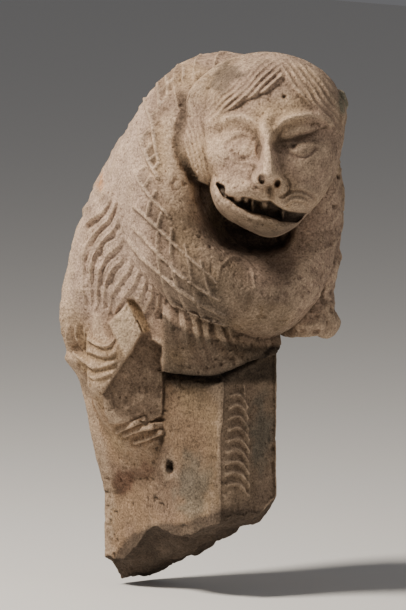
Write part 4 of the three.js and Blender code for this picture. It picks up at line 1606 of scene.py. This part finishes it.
@dataclass(frozen=True)
class StoneFinish:
    """Pale brown stone with a worn, pitted skin."""

    name: str = "weathered_stone"
    roughness: float = 0.92
    mottle_scale: float = 55.0
    fleck_scale: float = 420.0
    pit_scale: float = 230.0
    bump: float = 0.75

    def material(self) -> bpy.types.Material:
        """Make the stone's node material.

        Returns:
            The material.
        """
        material = bpy.data.materials.new(self.name)
        material.use_nodes = True
        nodes, links = material.node_tree.nodes, material.node_tree.links
        shader = nodes["Principled BSDF"]
        shader.inputs["Roughness"].default_value = self.roughness
        shader.inputs["Specular IOR Level"].default_value = 0.2
        place = nodes.new("ShaderNodeTexCoord")
        tone = nodes.new("ShaderNodeAttribute")
        tone.attribute_name = "tone"
        mottle = self.noise(nodes, links, place, self.mottle_scale, 6.0, 0.62)
        fleck = self.noise(nodes, links, place, self.fleck_scale, 4.0, 0.7)
        pits = self.noise(nodes, links, place, self.pit_scale, 2.0, 0.5)
        colour = tone.outputs["Color"]
        colour = self.tinted(nodes, links, colour, mottle, (0.3, 0.7), (0.72, 0.70, 0.68), (1.22, 1.2, 1.17))
        colour = self.tinted(nodes, links, colour, fleck, (0.32, 0.68), (0.5, 0.48, 0.46), (1.42, 1.4, 1.36))
        colour = self.tinted(nodes, links, colour, pits, (0.27, 0.36), (0.5, 0.46, 0.43), (1.0, 1.0, 1.0))
        links.new(colour, shader.inputs["Base Color"])
        coarse = nodes.new("ShaderNodeBump")
        coarse.inputs["Strength"].default_value = self.bump
        coarse.inputs["Distance"].default_value = 0.002
        links.new(pits, coarse.inputs["Height"])
        fine = nodes.new("ShaderNodeBump")
        fine.inputs["Strength"].default_value = self.bump
        fine.inputs["Distance"].default_value = 0.0012
        links.new(fleck, fine.inputs["Height"])
        links.new(coarse.outputs["Normal"], fine.inputs["Normal"])
        links.new(fine.outputs["Normal"], shader.inputs["Normal"])
        return material

    @staticmethod
    def noise(nodes: bpy.types.Nodes, links: bpy.types.NodeLinks, place: bpy.types.Node, scale: float,
              detail: float, roughness: float) -> bpy.types.NodeSocket:
        """Add an even grain over the stone.

        Args:
            nodes: The material's nodes.
            links: The material's links.
            place: The coordinates that it follows.
            scale: Grains in a metre.
            detail: How many finer grains it has.
            roughness: How strong the finer grains are.

        Returns:
            The grain's value.
        """
        node = nodes.new("ShaderNodeTexNoise")
        node.inputs["Scale"].default_value = scale
        node.inputs["Detail"].default_value = detail
        node.inputs["Roughness"].default_value = roughness
        links.new(place.outputs["Object"], node.inputs["Vector"])
        return node.outputs["Fac"]

    @staticmethod
    def tinted(nodes: bpy.types.Nodes, links: bpy.types.NodeLinks, colour: bpy.types.NodeSocket,
               value: bpy.types.NodeSocket, span: tuple[float, float], low: tuple[float, ...],
               high: tuple[float, ...]) -> bpy.types.NodeSocket:
        """Multiply a colour by a tint that follows a grain.

        Args:
            nodes: The material's nodes.
            links: The material's links.
            colour: The colour so far.
            value: The grain.
            span: The grain's values that take the two tints.
            low: Tint at the low end.
            high: Tint at the high end.

        Returns:
            The tinted colour.
        """
        ramp = nodes.new("ShaderNodeValToRGB")
        ramp.color_ramp.elements[0].position, ramp.color_ramp.elements[1].position = span
        ramp.color_ramp.elements[0].color = (*(part / 1.3 for part in low), 1.0)
        ramp.color_ramp.elements[1].color = (*(part / 1.3 for part in high), 1.0)
        links.new(value, ramp.inputs["Fac"])
        blend = nodes.new("ShaderNodeVectorMath")
        blend.operation = "MULTIPLY"
        links.new(colour, blend.inputs[0])
        links.new(ramp.outputs["Color"], blend.inputs[1])
        lift = nodes.new("ShaderNodeVectorMath")
        lift.operation = "SCALE"
        lift.inputs["Scale"].default_value = 1.3
        links.new(blend.outputs["Vector"], lift.inputs[0])
        return lift.outputs["Vector"]


@dataclass
class Protome:
    """The whole carving: its forms grown together into one stone, weathered and toned."""

    voxel: float = 1.2
    triangles: int = 190000
    flank_wear: float = 1.9
    pit_depth: float = 1.4
    gouge_depth: float = 2.6
    worn_rounds: int = 40
    hollow_rounds: int = 14

    def forms(self) -> list[bpy.types.Object]:
        """Make every form of the carving."""
        head = Head()
        return [Mane().build(), Chest().build(), head.build(), HairMass(head).build(), EarStub(head).build(),
                Pillar().build(), Foreleg().build(), Haunch().build(), Shoulder().build()]

    def grown(self) -> bpy.types.Mesh:
        """Grow the forms into one closed skin.

        Returns:
            The skin's mesh.
        """
        bm = bmesh.new()
        for form in self.forms():
            log.info("form %s: %d faces", form.name, len(form.data.polygons))
            bm.from_mesh(form.data)
            bpy.data.objects.remove(form)
        mesh = bpy.data.meshes.new("lion_skin")
        bm.to_mesh(mesh)
        bm.free()
        skin = bpy.data.objects.new("lion_skin", mesh)
        bpy.context.scene.collection.objects.link(skin)
        remesh = skin.modifiers.new("grow", "REMESH")
        remesh.mode = "VOXEL"
        remesh.voxel_size = self.voxel * MM
        return self.applied(skin)

    @staticmethod
    def applied(thing: bpy.types.Object) -> bpy.types.Mesh:
        """Take an object's finished mesh and drop the object.

        Args:
            thing: An object with modifiers.

        Returns:
            Its mesh with the modifiers applied.
        """
        bpy.context.view_layer.update()
        mesh = bpy.data.meshes.new_from_object(thing.evaluated_get(bpy.context.evaluated_depsgraph_get()))
        bpy.data.objects.remove(thing)
        return mesh

    @staticmethod
    def arrays(mesh: bpy.types.Mesh) -> tuple[Array, Array]:
        """Give a mesh's vertices in millimetres and its vertex normals."""
        points = np.empty(3 * len(mesh.vertices))
        mesh.vertices.foreach_get("co", points)
        normals = np.empty(3 * len(mesh.vertices))
        mesh.vertex_normals.foreach_get("vector", normals)
        return points.reshape(-1, 3) / MM, normals.reshape(-1, 3)

    def weathered(self, mesh: bpy.types.Mesh) -> None:
        """Cut the fine marks, then wear the skin: soft hollows, worn spots and small pits."""
        points, normals = self.arrays(mesh)
        marks = FineCarving()
        right, up, facing = marks.seen(points, normals)
        worn = facing * within(marks.worn_side, right, up, 6.0)
        points = mix(points, self.softened(mesh, points, self.worn_rounds), worn[:, None])
        points = marks.flattened(points, normals)
        points = points + normals * marks.relief(points, normals)[:, None]
        wear = 0.55 * grain(points, 26.0, 61) + 0.4 * grain(points, 9.0, 62) + 0.3 * grain(points, 4.0, 63)
        pit = smooth(grain(points, 5.5, 64), 0.4, 0.75) * smooth(grain(points, 60.0, 65), -0.4, 0.4)
        gouge = smooth(grain(points, 11.0, 66), 0.45, 0.7) * smooth(points[:, 0], 40.0, 70.0)
        flank = fall(points @ VIEW.right, -28.0, 6.0) * smooth(points[:, 2], 120.0, 170.0)
        wear += self.flank_wear * grain(points, 13.0, 67) * flank
        wear -= self.pit_depth * pit + self.gouge_depth * gouge
        moved = (points + normals * wear[:, None]) * MM
        mesh.vertices.foreach_set("co", moved.ravel())
        mesh.update()

    @staticmethod
    def cut_flat(mesh: bpy.types.Mesh) -> None:
        """Cut the skin flat where it meets the wall."""
        bm = bmesh.new()
        bm.from_mesh(mesh)
        cut = bmesh.ops.bisect_plane(bm, geom=bm.verts[:] + bm.edges[:] + bm.faces[:], dist=1e-6,
                                     plane_co=(0, 0, 0), plane_no=(0, 1, 0), clear_outer=True)
        rim = [edge for edge in cut["geom_cut"] if isinstance(edge, bmesh.types.BMEdge)]
        bmesh.ops.holes_fill(bm, edges=rim, sides=0)
        bmesh.ops.triangulate(bm, faces=[face for face in bm.faces if len(face.verts) > 4])
        bmesh.ops.recalc_face_normals(bm, faces=bm.faces[:])
        bm.to_mesh(mesh)
        bm.free()

    def thinned(self, mesh: bpy.types.Mesh) -> bpy.types.Mesh:
        """Thin the skin where it is plain.

        Args:
            mesh: The full skin.

        Returns:
            The finished skin.
        """
        skin = bpy.data.objects.new("lion_skin", mesh)
        bpy.context.scene.collection.objects.link(skin)
        mesh.calc_loop_triangles()
        decimate = skin.modifiers.new("thin", "DECIMATE")
        decimate.ratio = min(1.0, self.triangles / len(mesh.loop_triangles))
        return self.applied(skin)

    @staticmethod
    def hollows(mesh: bpy.types.Mesh, points: Array, normals: Array, rounds: int) -> Array:
        """Measure how far each point lies below the skin around it.

        Args:
            mesh: The skin.
            points: Its vertices.
            normals: Its vertex normals.
            rounds: How far around to look.

        Returns:
            Depths in millimetres, negative on ridges.
        """
        return np.einsum("ij,ij->i", Protome.softened(mesh, points, rounds) - points, normals)

    @staticmethod
    def softened(mesh: bpy.types.Mesh, points: Array, rounds: int) -> Array:
        """Smooth a skin's points.

        Args:
            mesh: The skin.
            points: Its vertices.
            rounds: How far around each point is smoothed.

        Returns:
            The smooth points.
        """
        edges = np.empty(2 * len(mesh.edges), dtype=np.int64)
        mesh.edges.foreach_get("vertices", edges)
        first, second = edges.reshape(-1, 2).T
        count = np.bincount(first, minlength=len(points)) + np.bincount(second, minlength=len(points))
        soft = points.copy()
        for _ in range(rounds):
            total = [np.bincount(first, soft[second, axis], len(points))
                     + np.bincount(second, soft[first, axis], len(points)) for axis in range(3)]
            soft = np.stack(total, axis=1) / np.maximum(count, 1)[:, None]
        return soft

    def toned(self, mesh: bpy.types.Mesh) -> None:
        """Give the skin its tones."""
        points, normals = self.arrays(mesh)
        Patina().dress(mesh, Skin(points, normals, self.hollows(mesh, points, normals, self.hollow_rounds)))

    def build(self) -> bpy.types.Object:
        """Make the finished carving.

        Returns:
            The carving's object.
        """
        mesh = self.grown()
        log.info("grown skin: %d faces", len(mesh.polygons))
        self.weathered(mesh)
        self.cut_flat(mesh)
        mesh = self.thinned(mesh)
        mesh.name = "lion_carving"
        self.toned(mesh)
        for polygon in mesh.polygons:
            polygon.use_smooth = True
        mesh.materials.append(StoneFinish().material())
        carving = bpy.data.objects.new("lion_carving", mesh)
        bpy.context.scene.collection.objects.link(carving)
        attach(carving, "root")
        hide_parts("lion_protome")
        log.info("carving: %d faces", len(mesh.polygons))
        return carving


@dataclass(frozen=True)
class Lamp:
    """A soft square light, hung at metres right, up and out of the lion as the camera sees it."""

    name: str
    place: tuple[float, float, float]
    size: float
    power: float
    colour: Colour


@dataclass
class Studio:
    """The pale floor, the soft lights and the camera at the photograph's angle."""

    pixel: float = 1.15
    frame_size: tuple[int, int] = (406, 610)
    origin_pixel: tuple[float, float] = (126.7, 430.0)
    middle_depth: float = 130.0
    distance: float = 16000.0
    sensor: float = 36.0
    floor_half: float = 6.0
    floor_gap: float = 0.002
    floor_colour: Colour = (0.72, 0.71, 0.69)
    lamps: tuple[Lamp, ...] = (
        Lamp("key", (-1.4, 2.0, 0.9), 0.6, 128.0, (1.0, 0.92, 0.82)),
        Lamp("fill", (1.7, 0.5, 1.4), 1.6, 8.0, (1.0, 0.95, 0.9)))
    sky_colour: Colour = (0.5, 0.5, 0.52)
    sky_strength: float = 0.28

    def __post_init__(self) -> None:
        """Set up the point that the camera looks at."""
        aside = (self.frame_size[0] / 2.0 - self.origin_pixel[0]) * self.pixel
        above = (self.origin_pixel[1] - self.frame_size[1] / 2.0) * self.pixel
        self.target = VIEW.point((0.0, 0.0, 0.0), aside, above, self.middle_depth)[0]

    def camera(self) -> None:
        """Set the camera where the photograph was taken from."""
        data = bpy.data.cameras.new("view")
        data.sensor_fit = "VERTICAL"
        data.sensor_height = self.sensor
        data.lens = self.sensor * self.distance / (self.frame_size[1] * self.pixel)
        data.clip_end = 50.0
        camera = bpy.data.objects.new("view", data)
        turn = Matrix(np.stack([VIEW.right, VIEW.up, VIEW.out], axis=1).tolist()).to_4x4()
        camera.matrix_world = Matrix.Translation(Vector((self.target + VIEW.out * self.distance) * MM)) @ turn
        bpy.context.scene.collection.objects.link(camera)
        bpy.context.scene.camera = camera

    def hang(self, lamp: Lamp) -> None:
        """Hang a light and turn it to the lion.

        Args:
            lamp: The light to hang.
        """
        data = bpy.data.lights.new(lamp.name, "AREA")
        data.energy = lamp.power
        data.size = lamp.size
        data.color = lamp.colour
        light = bpy.data.objects.new(lamp.name, data)
        target = Vector(self.target * MM)
        spot = Vector(VIEW.point(self.target * MM, *lamp.place)[0])
        turn = (spot - target).to_track_quat("Z", "Y").to_matrix().to_4x4()
        light.matrix_world = Matrix.Translation(spot) @ turn
        bpy.context.scene.collection.objects.link(light)

    def floor(self) -> None:
        """Lay the pale floor just under the carving."""
        bm = bmesh.new()
        bmesh.ops.create_grid(bm, x_segments=1, y_segments=1, size=self.floor_half)
        bmesh.ops.translate(bm, verts=bm.verts[:], vec=(0.0, 0.0, CAD_BOX[0][2] - self.floor_gap))
        mesh = bpy.data.meshes.new("floor")
        bm.to_mesh(mesh)
        bm.free()
        material = bpy.data.materials.new("pale_floor")
        material.use_nodes = True
        shader = material.node_tree.nodes["Principled BSDF"]
        shader.inputs["Base Color"].default_value = (*self.floor_colour, 1.0)
        shader.inputs["Roughness"].default_value = 0.9
        mesh.materials.append(material)
        floor = bpy.data.objects.new("floor", mesh)
        bpy.context.scene.collection.objects.link(floor)

    def build(self) -> None:
        """Set up the whole studio."""
        self.camera()
        self.floor()
        for lamp in self.lamps:
            self.hang(lamp)
        world = bpy.data.worlds.new("studio")
        world.use_nodes = True
        sky = world.node_tree.nodes["Background"]
        sky.inputs["Color"].default_value = (*self.sky_colour, 1.0)
        sky.inputs["Strength"].default_value = self.sky_strength
        bpy.context.scene.world = world


def main() -> None:
    """Build the studio and the carving."""
    logging.basicConfig(level=logging.INFO, format="%(asctime)s %(name)s %(message)s")
    Studio().build()
    log.info("studio ready")
    Protome().build()


if __name__ == "__main__":
    main()
